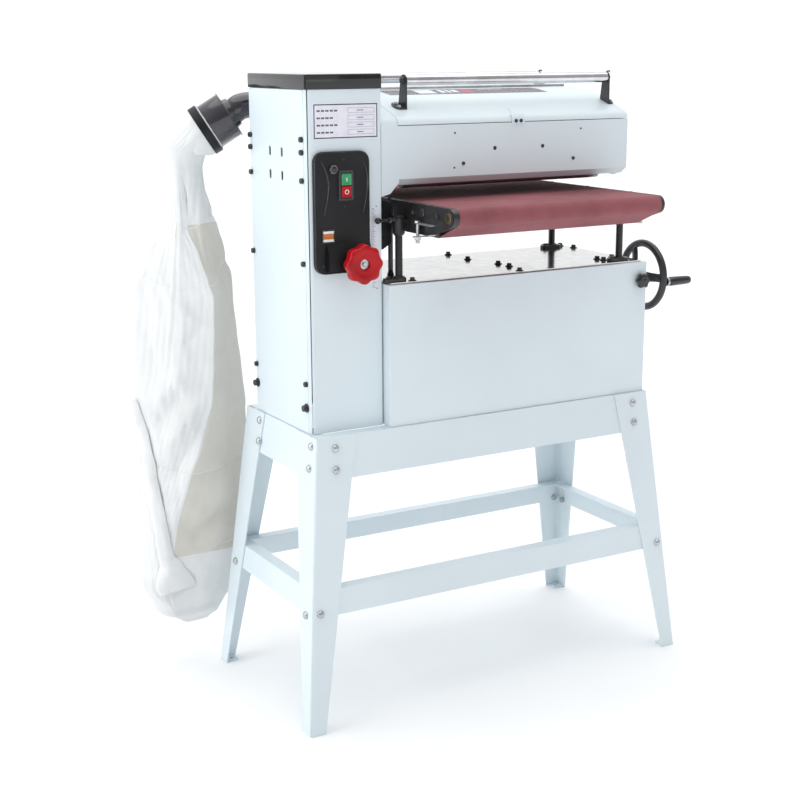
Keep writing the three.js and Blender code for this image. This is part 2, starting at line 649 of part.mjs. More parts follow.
function buildDrum() {
  const drive = assembly();
  const d = DRUM;
  const bore = d.shaft + GAP;
  const wall = CHEEK.right - HEAD.sheet - GAP;
  const endWall = HEAD.right - HEAD.sheet - GAP;
  const drumPulley = turnedX([...groovedPulley(PULLEY.drum, bore), [PULLEY.left, bore]]);
  add(drive, "sanding_drum", sandingDrum(), FINISH.abrasive, [0, d.y, d.z]);
  add(drive, "drum_bearing_left", drumBearing(-1), FINISH.castIron, [wall, d.y, d.z]);
  add(drive, "drum_bearing_right", drumBearing(-1), FINISH.castIron, [endWall, d.y, d.z]);
  add(drive, "drum_pulley", drumPulley, FINISH.aluminium, [0, d.y, d.z]);
  add(drive, "main_motor", mainMotor(), FINISH.aluminium, [0, d.y, MOTOR.z]);
  add(drive, "motor_pulley", motorPulley(), FINISH.aluminium, [0, d.y, MOTOR.z]);
  add(drive, "drive_belt", driveBelt(), FINISH.rubber);
  for (const [end, side] of [["front", -1], ["back", 1]]) {
    const place = [0, d.y + side * PRESSURE_ROLLER.offset, PRESSURE_ROLLER.z];
    add(drive, `pressure_roller_${end}`, pressureRoller(), FINISH.steel, place);
  }
}

// ---- Feed table ----
const rollerZ = TABLE.top - TABLE.roller;

// The four circles that the feed belt is pulled round, for a given thickness of belt taken off.
function beltCircles(drop) {
  const t = TABLE;
  return [
    [t.front + t.taperIn, t.taperZ, t.taper - drop],
    [t.back - t.taperIn, t.taperZ, t.taper - drop],
    [t.back, rollerZ, t.roller - drop],
    [t.front, rollerZ, t.roller - drop],
  ];
}

function conveyorBelt() {
  const loop = prismX(wrap(beltCircles(0)), DRUM.left, DRUM.right);
  return cut(loop, prismX(wrap(beltCircles(TABLE.belt)), DRUM.left - 1, DRUM.right + 1));
}

function tableFrame() {
  const t = TABLE;
  const c = CASTING;
  const drop = t.belt + GAP;
  const side = [
    [t.front + t.taperIn + 8, t.taperZ + 2, 10],
    [t.back - t.taperIn - 8, t.taperZ + 2, 10],
    [t.back, rollerZ, c.nose],
    [t.front, rollerZ, c.nose],
  ];
  const casting = (x0, x1) => prismX(wrap(side), x0, x1);
  const plate = box(c.left + 5, c.right - 5, t.front + 20, t.back - 20, t.top - drop - 6, t.top - drop);
  const bars = [t.front + t.taperIn, t.back - t.taperIn].map((y) =>
    barX(c.left + 5, c.right - 5, y, t.taperZ, t.taper - drop, 20),
  );
  const bosses = [];
  const bores = [];
  for (const y of [POSTS.front, POSTS.back]) {
    for (const [x, web] of [[POSTS.left, [POSTS.left, c.left + 5]], [POSTS.right, [c.right - 5, POSTS.right]]]) {
      bosses.push(barZ(975, 1003, x, y, SCREW.boss), box(...web, y - 10, y + 10, 978, 1000));
      bores.push(barZ(970, 1010, x, y, SCREW.radius + 0.5));
    }
  }
  const journals = [t.front, t.back].map((y) => barX(c.left - 1, c.right + 1, y, rollerZ, c.journal + 0.4));
  const sides = [casting(c.left, c.left + c.leftWidth), casting(c.right - c.rightWidth, c.right)];
  return cut(join(plate, ...sides, ...bars, ...bosses), ...bores, ...journals);
}

function feedRoller() {
  const c = CASTING;
  const radius = TABLE.roller - TABLE.belt - GAP;
  return turnedX([
    [c.left + 1, 0],
    [c.left + 1, c.journal],
    [DRUM.left + 1, c.journal],
    [DRUM.left + 1, radius],
    [DRUM.right - 1, radius],
    [DRUM.right - 1, c.journal],
    [c.right - 1, c.journal],
    [c.right - 1, 0],
  ]);
}

function feedMotor() {
  const end = CASTING.left - GAP;
  return join(barX(end - 34, end, 0, 0, 34, 28), barX(end - 84, end - 33, 0, 0, 29, 28));
}

// The ball-ended arm that reads the table's height on the scale of the drive cabinet.
function depthPointer() {
  const ball = new THREE.SphereGeometry(6, 16, 10).translate(155, 25.5, 1001);
  const edge = POSTS.left - Math.sqrt(SCREW.boss ** 2 - (POSTS.front - 25.5) ** 2);
  return join(ball, barX(157, edge - 3, 25.5, 1001, 2.5, 12));
}

function buildTable() {
  const table = assembly();
  add(table, "table_frame", tableFrame(), FINISH.castIron);
  add(table, "conveyor_belt", conveyorBelt(), FINISH.abrasive);
  add(table, "idler_roller", feedRoller(), FINISH.steel, [0, TABLE.front, rollerZ]);
  add(table, "drive_roller", feedRoller(), FINISH.steel, [0, TABLE.back, rollerZ]);
  add(table, "feed_motor", feedMotor(), FINISH.aluminium, [0, TABLE.back, rollerZ]);
  add(table, "depth_pointer", depthPointer(), FINISH.blackPlastic);
}

// ---- Table lift ----
function leadScrew(worm) {
  const s = SCREW;
  const shaft = barZ(s.bottom, s.top, 0, 0, s.radius, 16);
  const sprocket = barZ(s.sprocketZ, s.sprocketZ + 6, 0, 0, s.sprocket);
  const gear = barZ(WHEEL.z - 7, WHEEL.z + 7, 0, 0, WHEEL.y - POSTS.front - 10.6);
  return worm ? join(shaft, sprocket, gear) : join(shaft, sprocket);
}

function liftChain() {
  const { left, right, front, back } = POSTS;
  const r = SCREW.sprocket + GAP;
  const path = (grow) => wrap([[left, front, r], [right, front, r], [right, back, r], [left, back, r]], grow);
  const z = SCREW.sprocketZ;
  return cut(prismZ(path(3.6), z + 1, z + 5), prismZ(path(0), z, z + 6));
}

// Dished wheel: the hub is near the cabinet, and three spokes lean out to the rim. x = 0 is the cabinet's wall.
function handwheel() {
  const w = WHEEL;
  const rimX = w.reach;
  const section = [[-8, -3], [-4, -8], [4, -8], [8, -3], [8, 4], [4, 8.5], [-4, 8.5], [-8, 4], [-8, -3]];
  const rim = turnedX(section.map(([x, r]) => [rimX + x, w.radius + r]), 32);
  const boss = [[14, w.hub], [28, w.hub], [28, 0]];
  const hub = turnedX([[-76, 0], [-76, 10], [-24, 10], [-24, w.shaft], [14, w.shaft], ...boss]);
  const lean = [[15.5, 12], [26, 12], [rimX + 4, w.radius - 4], [rimX - 5, w.radius - 4]];
  const spokes = [0, 1, 2].map((k) => prismY(lean, -8, 8).rotateX((2 * Math.PI * k) / 3 + Math.PI / 2));
  return join(hub, rim, ...spokes);
}

function wheelGrip() {
  return turnedX([[0, 0], [0, 6], [5, 6], [5, 9.5], [12, 10.3], [50, 9.6], [62, 9], [66, 6], [66, 0]], 20);
}

function lockKnob() {
  const k = LOCK;
  const head = prismY(lobed(0, 0, k.radius - 2, k.lobes, 2), k.front, k.back);
  return join(head, barY(k.back - 1, LIFT_CABINET.front - GAP, 0, 0, k.stem, 16));
}

function buildLift() {
  const lift = assembly();
  for (const end of ["front", "back"]) {
    for (const side of ["left", "right"]) {
      const worm = end === "front" && side === "right";
      add(lift, `lead_screw_${end}_${side}`, leadScrew(worm), FINISH.steel, [POSTS[side], POSTS[end], 0]);
    }
  }
  add(lift, "lift_chain", liftChain(), FINISH.steel);
  const wall = LIFT_CABINET.right;
  add(lift, "handwheel", handwheel(), FINISH.castIron, [wall, WHEEL.y, WHEEL.z]);
  const gripAt = [wall + WHEEL.reach + 8 + GAP, WHEEL.y - WHEEL.radius, WHEEL.z - 7];
  add(lift, "handwheel_grip", wheelGrip(), FINISH.blackPlastic, gripAt);
  add(lift, "lock_knob", lockKnob(), FINISH.blackPlastic, [LOCK.x, 0, WHEEL.z]);
}

// ---- Dust outlet and bag ----
const alongPort = (distance) =>
  new THREE.Vector3(PORT.x, PORT.y, PORT.z).addScaledVector(PORT_AXIS, distance).toArray();

// A piece turned about the outlet's axis; x in its profile is the distance past the flange.
function aboutPort(profile, sides = 24) {
  const turn = new THREE.Quaternion().setFromUnitVectors(new THREE.Vector3(1, 0, 0), PORT_AXIS);
  const matrix = new THREE.Matrix4().compose(new THREE.Vector3(...alongPort(0)), turn, new THREE.Vector3(1, 1, 1));
  return turnedX(profile, sides).applyMatrix4(matrix);
}

function dustElbow() {
  const z = PORT.z + 16;
  const run = 357;
  const route = [
    [235, HEAD.back - 12, z],
    [234, HEAD.back + 12, z],
    [222, run - 7, z],
    [200, run, z],
    [120, run, z + 1],
    [50, run, z + 2],
    alongPort(-28),
    alongPort(-12),
    alongPort(6),
  ];
  const wholePipe = pipe(route, PORT.pipe, PORT.pipe - 2.5, 15, 16);
  return cut(wholePipe, box(150, 300, HEAD.back - 60, HEAD.back + GAP, z - 50, z + 50));
}

function bagAdaptor() {
  const p = PORT;
  const bore = p.pipe + 1.2;
  return aboutPort([[0, bore], [0, 50.5], [3, 50.5], [3, p.radius], [70, p.radius], [70, p.radius - 3],
    [3, p.radius - 3], [3, bore], [0, bore]]);
}

function bagClamp() {
  const inner = PORT.radius + 2.3;
  return aboutPort([[50, inner], [50, inner + 3], [68, inner + 3], [68, inner], [50, inner]]);
}

// The hanging bag: ellipses of [height, centre x, centre y, half width, half depth] below its mouth.
const BAG_SECTIONS = [
  [1128, -86, 402, 44, 42],
  [1092, -92, 406, 34, 33],
  [1050, -83, 408, 38, 34],
  [1000, -78, 411, 52, 38],
  [927, -83, 417, 84, 48],
  [842, -91, 424, 112, 60],
  [723, -90, 433, 123, 70],
  [587, -80, 443, 132, 72],
  [313, -89, 453, 132, 72],
  [183, -104, 456, 119, 64],
  [112, -100, 458, 84, 46],
  [76, -88, 458, 30, 22],
];

function dustBag() {
  const sides = 20;
  const angles = Array.from({ length: sides }, (_, i) => (2 * Math.PI * i) / sides);
  const across = new THREE.Vector3(0, 0, 1).cross(PORT_AXIS).normalize();
  const up = new THREE.Vector3().crossVectors(PORT_AXIS, across);
  const mouth = (distance, radius) =>
    angles.map((a) =>
      new THREE.Vector3(...alongPort(distance))
        .addScaledVector(across, radius * Math.cos(a))
        .addScaledVector(up, radius * Math.sin(a))
        .toArray(),
    );
  // Each ring starts on the same side of the mouth, so that the skin doesn't twist.
  const start = Math.atan2(across.y, across.x);
  const hanging = BAG_SECTIONS.map(([z, x, y, wide, deep]) =>
    angles.map((a) => [x + wide * Math.cos(start - a), y + deep * Math.sin(start - a), z]),
  );
  return loft([mouth(70.6, PORT.radius + 1.5), mouth(80, PORT.radius - 1), ...hanging]);
}

function buildDustOutlet() {
  const outlet = assembly();
  add(outlet, "dust_elbow", dustElbow(), FINISH.blackPlastic);
  add(outlet, "bag_adaptor", bagAdaptor(), FINISH.blackPlastic);
  add(outlet, "bag_clamp", bagClamp(), FINISH.blackPlastic);
  add(outlet, "dust_bag", dustBag(), FINISH.cloth);
}

buildStand();
buildCabinets();
buildControls();
buildHead();
buildDrum();
buildTable();
buildLift();
buildDustOutlet();

export default machine;
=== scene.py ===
"""Looks of a drum sander on its stand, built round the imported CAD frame.

Lengths in this file are millimetres from the floor point under the front left corner of the stand's top:
+X to the operator's right, +Y away from the operator, +Z up. piece() turns them into the frame's metres.
"""

import json
import math

import bmesh
import bpy
from mathutils import Matrix, Vector
from mathutils.kdtree import KDTree


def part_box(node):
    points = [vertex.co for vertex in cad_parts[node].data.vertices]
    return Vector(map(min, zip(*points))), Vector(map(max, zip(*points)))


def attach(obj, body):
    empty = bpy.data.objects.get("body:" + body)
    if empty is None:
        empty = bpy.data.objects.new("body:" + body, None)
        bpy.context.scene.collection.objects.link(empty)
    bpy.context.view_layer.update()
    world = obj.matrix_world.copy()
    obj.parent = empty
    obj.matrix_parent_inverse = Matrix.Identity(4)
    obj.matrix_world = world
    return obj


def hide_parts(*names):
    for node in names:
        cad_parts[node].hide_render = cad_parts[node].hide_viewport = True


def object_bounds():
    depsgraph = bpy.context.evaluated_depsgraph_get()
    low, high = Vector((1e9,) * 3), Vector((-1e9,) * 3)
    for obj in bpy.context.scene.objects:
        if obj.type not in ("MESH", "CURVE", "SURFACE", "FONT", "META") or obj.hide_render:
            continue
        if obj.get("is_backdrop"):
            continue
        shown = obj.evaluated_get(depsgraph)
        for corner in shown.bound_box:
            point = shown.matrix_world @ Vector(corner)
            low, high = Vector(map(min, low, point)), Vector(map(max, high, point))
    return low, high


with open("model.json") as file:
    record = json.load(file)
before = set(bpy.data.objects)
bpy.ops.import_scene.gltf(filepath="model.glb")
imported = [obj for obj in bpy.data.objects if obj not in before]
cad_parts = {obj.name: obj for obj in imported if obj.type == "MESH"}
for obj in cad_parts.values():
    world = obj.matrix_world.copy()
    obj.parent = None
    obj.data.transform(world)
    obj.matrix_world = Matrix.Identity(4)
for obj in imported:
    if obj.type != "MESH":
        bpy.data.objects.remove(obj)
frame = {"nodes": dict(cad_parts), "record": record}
CAD_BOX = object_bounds()
SCENE = bpy.context.scene

# The lift cabinet's lowest corner is the reference that ties these millimetres to the frame.
LIFT_CABINET_CORNER = Vector((170.4, 8.1, 589.3))
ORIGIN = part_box("lift_cabinet")[0] - LIFT_CABINET_CORNER / 1000
TO_FRAME = Matrix.Translation(ORIGIN) @ Matrix.Scale(0.001, 4)

X, Y, Z = Vector((1, 0, 0)), Vector((0, 1, 0)), Vector((0, 0, 1))


# ---- Materials ----
def new_material(name, color, roughness, metallic=0.0, **sockets):
    """A node material whose Principled shader has these constants; sockets are further inputs by name."""
    material = bpy.data.materials.new(name)
    material.use_nodes = True
    shader = material.node_tree.nodes["Principled BSDF"]
    shader.inputs["Base Color"].default_value = (*color, 1)
    shader.inputs["Roughness"].default_value = roughness
    shader.inputs["Metallic"].default_value = metallic
    for socket, value in sockets.items():
        shader.inputs[socket.replace("_", " ")].default_value = value
    return material


class Nodes:
    """Short forms for adding linked shader nodes to a material."""

    def __init__(self, material):
        self.tree = material.node_tree
        self.shader = self.tree.nodes["Principled BSDF"]
        self.place = self.tree.nodes.new("ShaderNodeTexCoord").outputs["Object"]

    def link(self, source, target):
        self.tree.links.new(source, target)
        return target

    def scaled_place(self, scale, rotation=(0, 0, 0)):
        mapping = self.tree.nodes.new("ShaderNodeMapping")
        mapping.inputs["Scale"].default_value = scale
        mapping.inputs["Rotation"].default_value = rotation
        self.link(self.place, mapping.inputs["Vector"])
        return mapping.outputs["Vector"]

    def noise(self, scale, detail=4.0, roughness=0.55, place=None, distortion=0.0):
        node = self.tree.nodes.new("ShaderNodeTexNoise")
        self.link(place or self.place, node.inputs["Vector"])
        node.inputs["Scale"].default_value = scale
        node.inputs["Detail"].default_value = detail
        node.inputs["Roughness"].default_value = roughness
        node.inputs["Distortion"].default_value = distortion
        return node.outputs["Fac"]

    def voronoi(self, scale):
        node = self.tree.nodes.new("ShaderNodeTexVoronoi")
        self.link(self.place, node.inputs["Vector"])
        node.inputs["Scale"].default_value = scale
        return node.outputs["Distance"]

    def wave(self, scale, direction, distortion):
        node = self.tree.nodes.new("ShaderNodeTexWave")
        node.bands_direction = direction
        self.link(self.place, node.inputs["Vector"])
        node.inputs["Scale"].default_value = scale
        node.inputs["Distortion"].default_value = distortion
        return node.outputs["Fac"]

    def ramp(self, source, stops):
        node = self.tree.nodes.new("ShaderNodeValToRGB")
        elements = node.color_ramp.elements
        while len(elements) < len(stops):
            elements.new(0.5)
        for element, (place, color) in zip(elements, stops):
            element.position = place
            element.color = (*color, 1) if hasattr(color, "__len__") else (color, color, color, 1)
        self.link(source, node.inputs["Fac"])
        return node.outputs["Color"]

    def feed(self, socket, value):
        """Links a node's output to a socket, or sets the socket to a constant."""
        if isinstance(value, bpy.types.NodeSocket):
            self.link(value, socket)
        else:
            socket.default_value = value

    def mix(self, factor, first, second):
        node = self.tree.nodes.new("ShaderNodeMix")
        node.data_type = "RGBA"
        for name, value in (("Factor", factor), ("A", first), ("B", second)):
            self.feed(node.inputs[name], value)
        return node.outputs["Result"]

    def math(self, operation, first, second):
        node = self.tree.nodes.new("ShaderNodeMath")
        node.operation = operation
        self.feed(node.inputs[0], first)
        self.feed(node.inputs[1], second)
        return node.outputs["Value"]

    def edge_wear(self, amount, radius=0.002):
        """1 near worn edges: where a bevelled normal leaves the surface's own."""
        bevel = self.tree.nodes.new("ShaderNodeBevel")
        bevel.inputs["Radius"].default_value = radius
        geometry = self.tree.nodes.new("ShaderNodeNewGeometry")
        dot = self.tree.nodes.new("ShaderNodeVectorMath")
        dot.operation = "DOT_PRODUCT"
        self.link(bevel.outputs["Normal"], dot.inputs[0])
        self.link(geometry.outputs["Normal"], dot.inputs[1])
        return self.ramp(dot.outputs["Value"], [(1 - amount, 1.0), (1.0, 0.0)])

    def color(self, source):
        self.link(source, self.shader.inputs["Base Color"])

    def roughness(self, source):
        self.link(source, self.shader.inputs["Roughness"])

    def bump(self, height, strength, distance):
        node = self.tree.nodes.new("ShaderNodeBump")
        node.inputs["Strength"].default_value = strength
        node.inputs["Distance"].default_value = distance
        self.link(height, node.inputs["Height"])
        previous = self.shader.inputs["Normal"]
        if previous.is_linked:
            self.link(previous.links[0].from_socket, node.inputs["Normal"])
        self.link(node.outputs["Normal"], previous)


def tinted(color, factor, lift=0.0):
    """A darker or lighter form of a colour."""
    return tuple(min(1.0, c * factor + lift) for c in color)


def powder_coat(name, color, roughness):
    """Baked powder paint: fine orange peel, and a little unevenness in tone and gloss."""
    material = new_material(name, color, roughness, Coat_Weight=0.12, Coat_Roughness=0.25)
    n = Nodes(material)
    n.color(n.ramp(n.noise(3.0, detail=3), [(0.35, tinted(color, 0.955)), (0.65, color)]))
    n.roughness(n.ramp(n.noise(9.0), [(0.3, roughness - 0.05), (0.7, roughness + 0.06)]))
    n.bump(n.noise(420.0, detail=2), 0.12, 0.0004)
    return material


def moulded_plastic(name, color, roughness, grain=900.0, strength=0.25):
    """Moulded plastic with a fine spark-eroded grain."""
    material = new_material(name, color, roughness, Specular_IOR_Level=0.3)
    n = Nodes(material)
    n.color(n.ramp(n.noise(14.0), [(0.35, color), (0.75, tinted(color, 1.4, 0.003))]))
    n.roughness(n.ramp(n.noise(25.0), [(0.3, roughness - 0.06), (0.7, roughness + 0.08)]))
    n.bump(n.voronoi(grain), strength, 0.0002)
    return material


def gloss_plastic(name, color, roughness=0.22, coat=0.35, specular=0.5):
    """Polished plastic: deep colour with faint flow marks and handling haze."""
    material = new_material(name, color, roughness, Coat_Weight=coat, Coat_Roughness=0.06,
                            Specular_IOR_Level=specular)
    n = Nodes(material)
    n.color(n.ramp(n.noise(18.0, detail=2), [(0.3, tinted(color, 0.7)), (0.6, color)]))
    n.roughness(n.ramp(n.noise(60.0), [(0.35, roughness - 0.05), (0.7, roughness + 0.1)]))
    n.bump(n.noise(160.0, detail=2), 0.05, 0.0004)
    return material


def black_paint(name, roughness=0.34, wear=True):
    """Satin black paint over cast or pressed metal, rubbed lighter on the edges."""
    base = (0.012, 0.012, 0.014)
    material = new_material(name, base, roughness, Coat_Weight=0.25, Coat_Roughness=0.2)
    n = Nodes(material)
    tone = n.ramp(n.noise(30.0), [(0.3, base), (0.75, (0.028, 0.027, 0.028))])
    if wear:
        patchy = n.ramp(n.noise(90.0), [(0.45, 0.0), (0.7, 1.0)])
        worn = n.math("MULTIPLY", n.edge_wear(0.5, 0.0012), patchy)
        tone = n.mix(n.math("MULTIPLY", worn, 0.45), tone, (0.16, 0.15, 0.14, 1))
    n.color(tone)
    n.roughness(n.ramp(n.noise(45.0), [(0.3, roughness - 0.08), (0.7, roughness + 0.14)]))
    n.bump(n.noise(300.0, detail=3), 0.16, 0.0005)
    return material


def brushed_metal(name, color, roughness, direction, metallic=1.0):
    """Turned or rolled metal: fine lines across one direction, with faint stains."""
    material = new_material(name, color, roughness, metallic)
    n = Nodes(material)
    stretch = [900.0, 900.0, 900.0]
    stretch["XYZ".index(direction)] = 12.0
    lines = n.noise(1.0, detail=3, place=n.scaled_place(stretch))
    dark = tinted(color, 0.72)
    stains = n.ramp(n.noise(20.0), [(0.35, dark), (0.65, color)])
    n.color(n.mix(n.math("MULTIPLY", lines, 0.35), stains, (*dark, 1)))
    n.roughness(n.ramp(lines, [(0.3, roughness - 0.07), (0.7, roughness + 0.1)]))
    n.bump(lines, 0.1, 0.0002)
    return material


def zinc_plate(name):
    """Bright galvanised sheet, glossy enough to show the parts that stand on it."""
    color = (0.70, 0.69, 0.68)
    material = new_material(name, color, 0.14, 1.0)
    n = Nodes(material)
    spangle = n.voronoi(45.0)
    n.color(n.ramp(spangle, [(0.0, (0.74, 0.73, 0.72)), (0.6, (0.63, 0.62, 0.61))]))
    n.roughness(n.ramp(n.noise(14.0), [(0.3, 0.09), (0.75, 0.2)]))
    n.bump(n.noise(40.0, detail=2), 0.05, 0.0006)
    return material


def abrasive_cloth(name, color, grit_scale=1500.0):
    """Coated abrasive: sharp grit over a cloth backing, mottled by wear."""
    material = new_material(name, color, 0.82, Sheen_Weight=0.08, Sheen_Roughness=0.4,
                            Specular_IOR_Level=0.25)
    n = Nodes(material)
    grit = n.voronoi(grit_scale)
    dark, light = tinted(color, 0.62), tinted(color, 1.22, 0.01)
    mottled = n.ramp(n.noise(7.0, detail=5), [(0.3, dark), (0.5, color), (0.75, light)])
    speckle = n.ramp(grit, [(0.0, 0.0), (0.45, 1.0)])
    n.color(n.mix(n.math("MULTIPLY", speckle, 0.28), mottled, (*light, 1)))
    n.roughness(n.ramp(n.noise(30.0), [(0.3, 0.7), (0.7, 0.92)]))
    n.bump(grit, 0.5, 0.0004)
    n.bump(n.noise(60.0), 0.12, 0.0008)
    return material


def filter_cloth(name, color=(0.83, 0.84, 0.84)):
    """Woven filter cloth: a visible weave, soft wrinkles and faint patches of dust."""
    material = new_material(name, color, 0.9, Sheen_Weight=0.35, Sheen_Roughness=0.5, Subsurface_Weight=0.05,
                            Subsurface_Radius=(0.004, 0.004, 0.004))
    n = Nodes(material)
    dusty = n.ramp(n.noise(5.0, detail=6, roughness=0.6), [(0.3, tinted(color, 0.88)), (0.6, color)])
    weave = n.math("MULTIPLY", n.wave(300.0, "Z", 0.6), n.wave(300.0, "X", 0.6))
    n.color(n.mix(n.math("MULTIPLY", weave, 0.16), dusty, (*tinted(color, 0.72), 1)))
    n.bump(weave, 0.35, 0.0004)
    n.bump(n.noise(26.0, detail=5, distortion=0.6), 0.35, 0.003)
    return material


WHITE = powder_coat("white_powder_coat", (0.745, 0.835, 0.88), 0.36)
BLACK_PAINT = black_paint("black_satin_paint")
BLACK_PLASTIC = moulded_plastic("black_moulded_plastic", (0.008, 0.008, 0.0095), 0.42)
BLACK_GLOSS = gloss_plastic("black_gloss_plastic", (0.012, 0.012, 0.016), 0.2)
PORT_PLASTIC = gloss_plastic("dust_port_plastic", (0.020, 0.016, 0.026), 0.2, 1.0)
CAP_PLASTIC = gloss_plastic("black_cap_plastic", (0.008, 0.008, 0.010), 0.16, 0.85, 0.2)
RED = gloss_plastic("red_gloss_plastic", (0.50, 0.003, 0.009), 0.3, 0.08, 0.25)
GREEN = gloss_plastic("green_button_plastic", (0.012, 0.30, 0.10), 0.28)
ORANGE = gloss_plastic("orange_rocker_plastic", (0.72, 0.20, 0.03), 0.3)
ZINC = zinc_plate("bright_zinc_plate")
CHROME = brushed_metal("chromed_tube", (0.82, 0.82, 0.84), 0.13, "X")
STEEL = brushed_metal("turned_steel", (0.50, 0.50, 0.50), 0.32, "Z")
STEEL_X = brushed_metal("turned_roller_steel", (0.56, 0.56, 0.56), 0.3, "X")
BOLT = brushed_metal("plated_bolt_steel", (0.62, 0.63, 0.65), 0.28, "Y")
ALUMINIUM = brushed_metal("cast_aluminium", (0.58, 0.59, 0.60), 0.42, "X")
BRONZE = brushed_metal("bronze_bush", (0.42, 0.27, 0.13), 0.32, "X")
MAROON = abrasive_cloth("maroon_abrasive_belt", (0.27, 0.085, 0.098))
DRUM_CLOTH = abrasive_cloth("brown_abrasive_wrap", (0.20, 0.075, 0.05), 1100.0)
RUBBER = moulded_plastic("black_belt_rubber", (0.012, 0.012, 0.012), 0.75, 500.0)
CLOTH = filter_cloth("off_white_filter_cloth")

NODE_MATERIALS = {
    "white_paint": WHITE,
    "black_paint": BLACK_PAINT,
    "zinc_sheet": ZINC,
    "black_plastic": BLACK_PLASTIC,
    "green_plastic": GREEN,
    "red_plastic": RED,
    "orange_plastic": ORANGE,
    "abrasive_cloth": MAROON,
    "cast_iron": BLACK_PAINT,
    "aluminium": ALUMINIUM,
    "drum_body": DRUM_CLOTH,
    "rubber": RUBBER,
    "steel": STEEL,
    "chrome": CHROME,
    "bag_cloth": CLOTH,
}


def printed(name, color, roughness=0.45):
    """Screen-printed film: thin ink with slight density changes."""
    material = new_material(name, color, roughness)
    n = Nodes(material)
    n.color(n.ramp(n.noise(60.0, detail=3), [(0.35, color), (0.7, tinted(color, 1.08, 0.01))]))
    n.roughness(n.ramp(n.noise(140.0), [(0.3, roughness - 0.08), (0.7, roughness + 0.08)]))
    n.bump(n.noise(700.0, detail=2), 0.05, 0.0001)
    return material


def floor_material():
    material = new_material("pale_floor", (0.93, 0.935, 0.94), 0.75)
    n = Nodes(material)
    n.color(n.ramp(n.noise(2.0, detail=3), [(0.3, (0.92, 0.925, 0.93)), (0.7, (0.945, 0.95, 0.955))]))
    return material


SCREW_BLACK = black_paint("black_oxide_steel", 0.36, wear=False)
SLEEVE = moulded_plastic("grey_conduit_sleeve", (0.075, 0.075, 0.085), 0.3, 500.0, 0.05)
DARK_STEEL = brushed_metal("dark_plated_steel", (0.20, 0.195, 0.19), 0.34, "Y")
LABEL = printed("pale_label_film", (0.80, 0.80, 0.88))
LABEL_LINE = printed("grey_label_line", (0.40, 0.40, 0.50))
INK = printed("black_label_ink", (0.03, 0.03, 0.035))
INK_GREY = printed("dark_grey_label_ink", (0.10, 0.10, 0.12))
DECAL = printed("dark_hood_decal", (0.13, 0.11, 0.13), 0.3)
DECAL_RED = printed("red_decal_block", (0.55, 0.05, 0.10), 0.3)
MARK_WHITE = moulded_plastic("white_mark_plastic", (0.80, 0.80, 0.80), 0.4, 700.0, 0.1)
BRACKET_STEEL = brushed_metal("light_strip_steel", (0.60, 0.60, 0.60), 0.4, "Y", 0.8)
SPLICE = abrasive_cloth("belt_splice_tape", (0.19, 0.045, 0.055))
# The bag cloth again in a darker beige: painted shade for the side panel, which turns away from the light.
CLOTH_PAINTED_SHADE = filter_cloth("filter_cloth_painted_shade", (0.70, 0.67, 0.61))
FLOOR = floor_material()


def paint_frame(bevel_mm):
    """Every CAD node gets its slot's material, flat faces without needless edges, and rounded corners."""
    for subpart in frame["record"]["subparts"]:
        node = frame["nodes"][subpart["node"]]
        node.data.materials.clear()
        node.data.materials.append(NODE_MATERIALS[subpart["material_slot"]])
        node.modifiers.new("weld", "WELD").merge_threshold = 1e-5
        flatten = node.modifiers.new("flat", "DECIMATE")
        flatten.decimate_type = "DISSOLVE"
        flatten.angle_limit = math.radians(0.6)
        soften(node, bevel_mm.get(node.name, bevel_mm["default"]))


def soften(piece, width_mm, angle=32):
    """Rounds a piece's edges and shades it smooth."""
    piece.data.shade_smooth()
    piece.data.set_sharp_from_angle(angle=math.radians(angle))
    if width_mm:
        bevel = piece.modifiers.new("edge", "BEVEL")
        bevel.width = width_mm / 1000
        bevel.segments = 2
        bevel.limit_method = "ANGLE"
        bevel.angle_limit = math.radians(angle)
        bevel.use_clamp_overlap = True
        piece.modifiers.new("normals", "WEIGHTED_NORMAL").keep_sharp = True


# ---- Shapes: each adds faces to a bmesh, in millimetres, with a material index called tint ----
def skin(bm, rows, around=True, tint=None):
    """Faces between neighbouring rows of points; tint(i, z) gives a face's material. Returns the vertices."""
    made = [[bm.verts.new(p) for p in row] for row in rows]
    for low, high in zip(made, made[1:]):
        for i in range(len(low) if around else len(low) - 1):
            j = (i + 1) % len(low)
            face = bm.faces.new((low[i], low[j], high[j], high[i]))
            face.material_index = tint(i, low[i].co.z) if tint else 0
    return made
def loft(bm, rings, tint=0, loop=False):
    """A skin over rings with the same number of points, closed at both ends unless it loops."""
    made = [[bm.verts.new(p) for p in ring] for ring in rings]
    faces = []
    for low, high in zip(made, made[1:] + (made[:1] if loop else [])):
        for i, corner in enumerate(low):
            j = (i + 1) % len(low)
            faces.append(bm.faces.new((corner, low[j], high[j], high[i])))
    if not loop:
        faces += [bm.faces.new(made[0][::-1]), bm.faces.new(made[-1])]
    for face in faces:
        face.material_index = tint


def across(axis):
    """Two directions square to an axis; the first is level."""
    first = Vector(X) if abs(axis.z) > 0.95 else Z.cross(axis).normalized()
    return first, axis.cross(first)


def turned(bm, centre, axis, profile, sides=40, tint=0, lobe=None, loop=False):
    """A body turned about an axis from (distance along it, radius) points; lobe scales the radius."""
    axis = Vector(axis).normalized()
    side, up = across(axis)
    rings = []
    for along, radius in profile:
        ring = []
        for i in range(sides):
            angle = 2 * math.pi * i / sides
            r = radius * (lobe(angle, radius) if lobe else 1)
            ring.append(Vector(centre) + axis * along + (side * math.cos(angle) + up * math.sin(angle)) * r)
        rings.append(ring)
    loft(bm, rings, tint, loop)


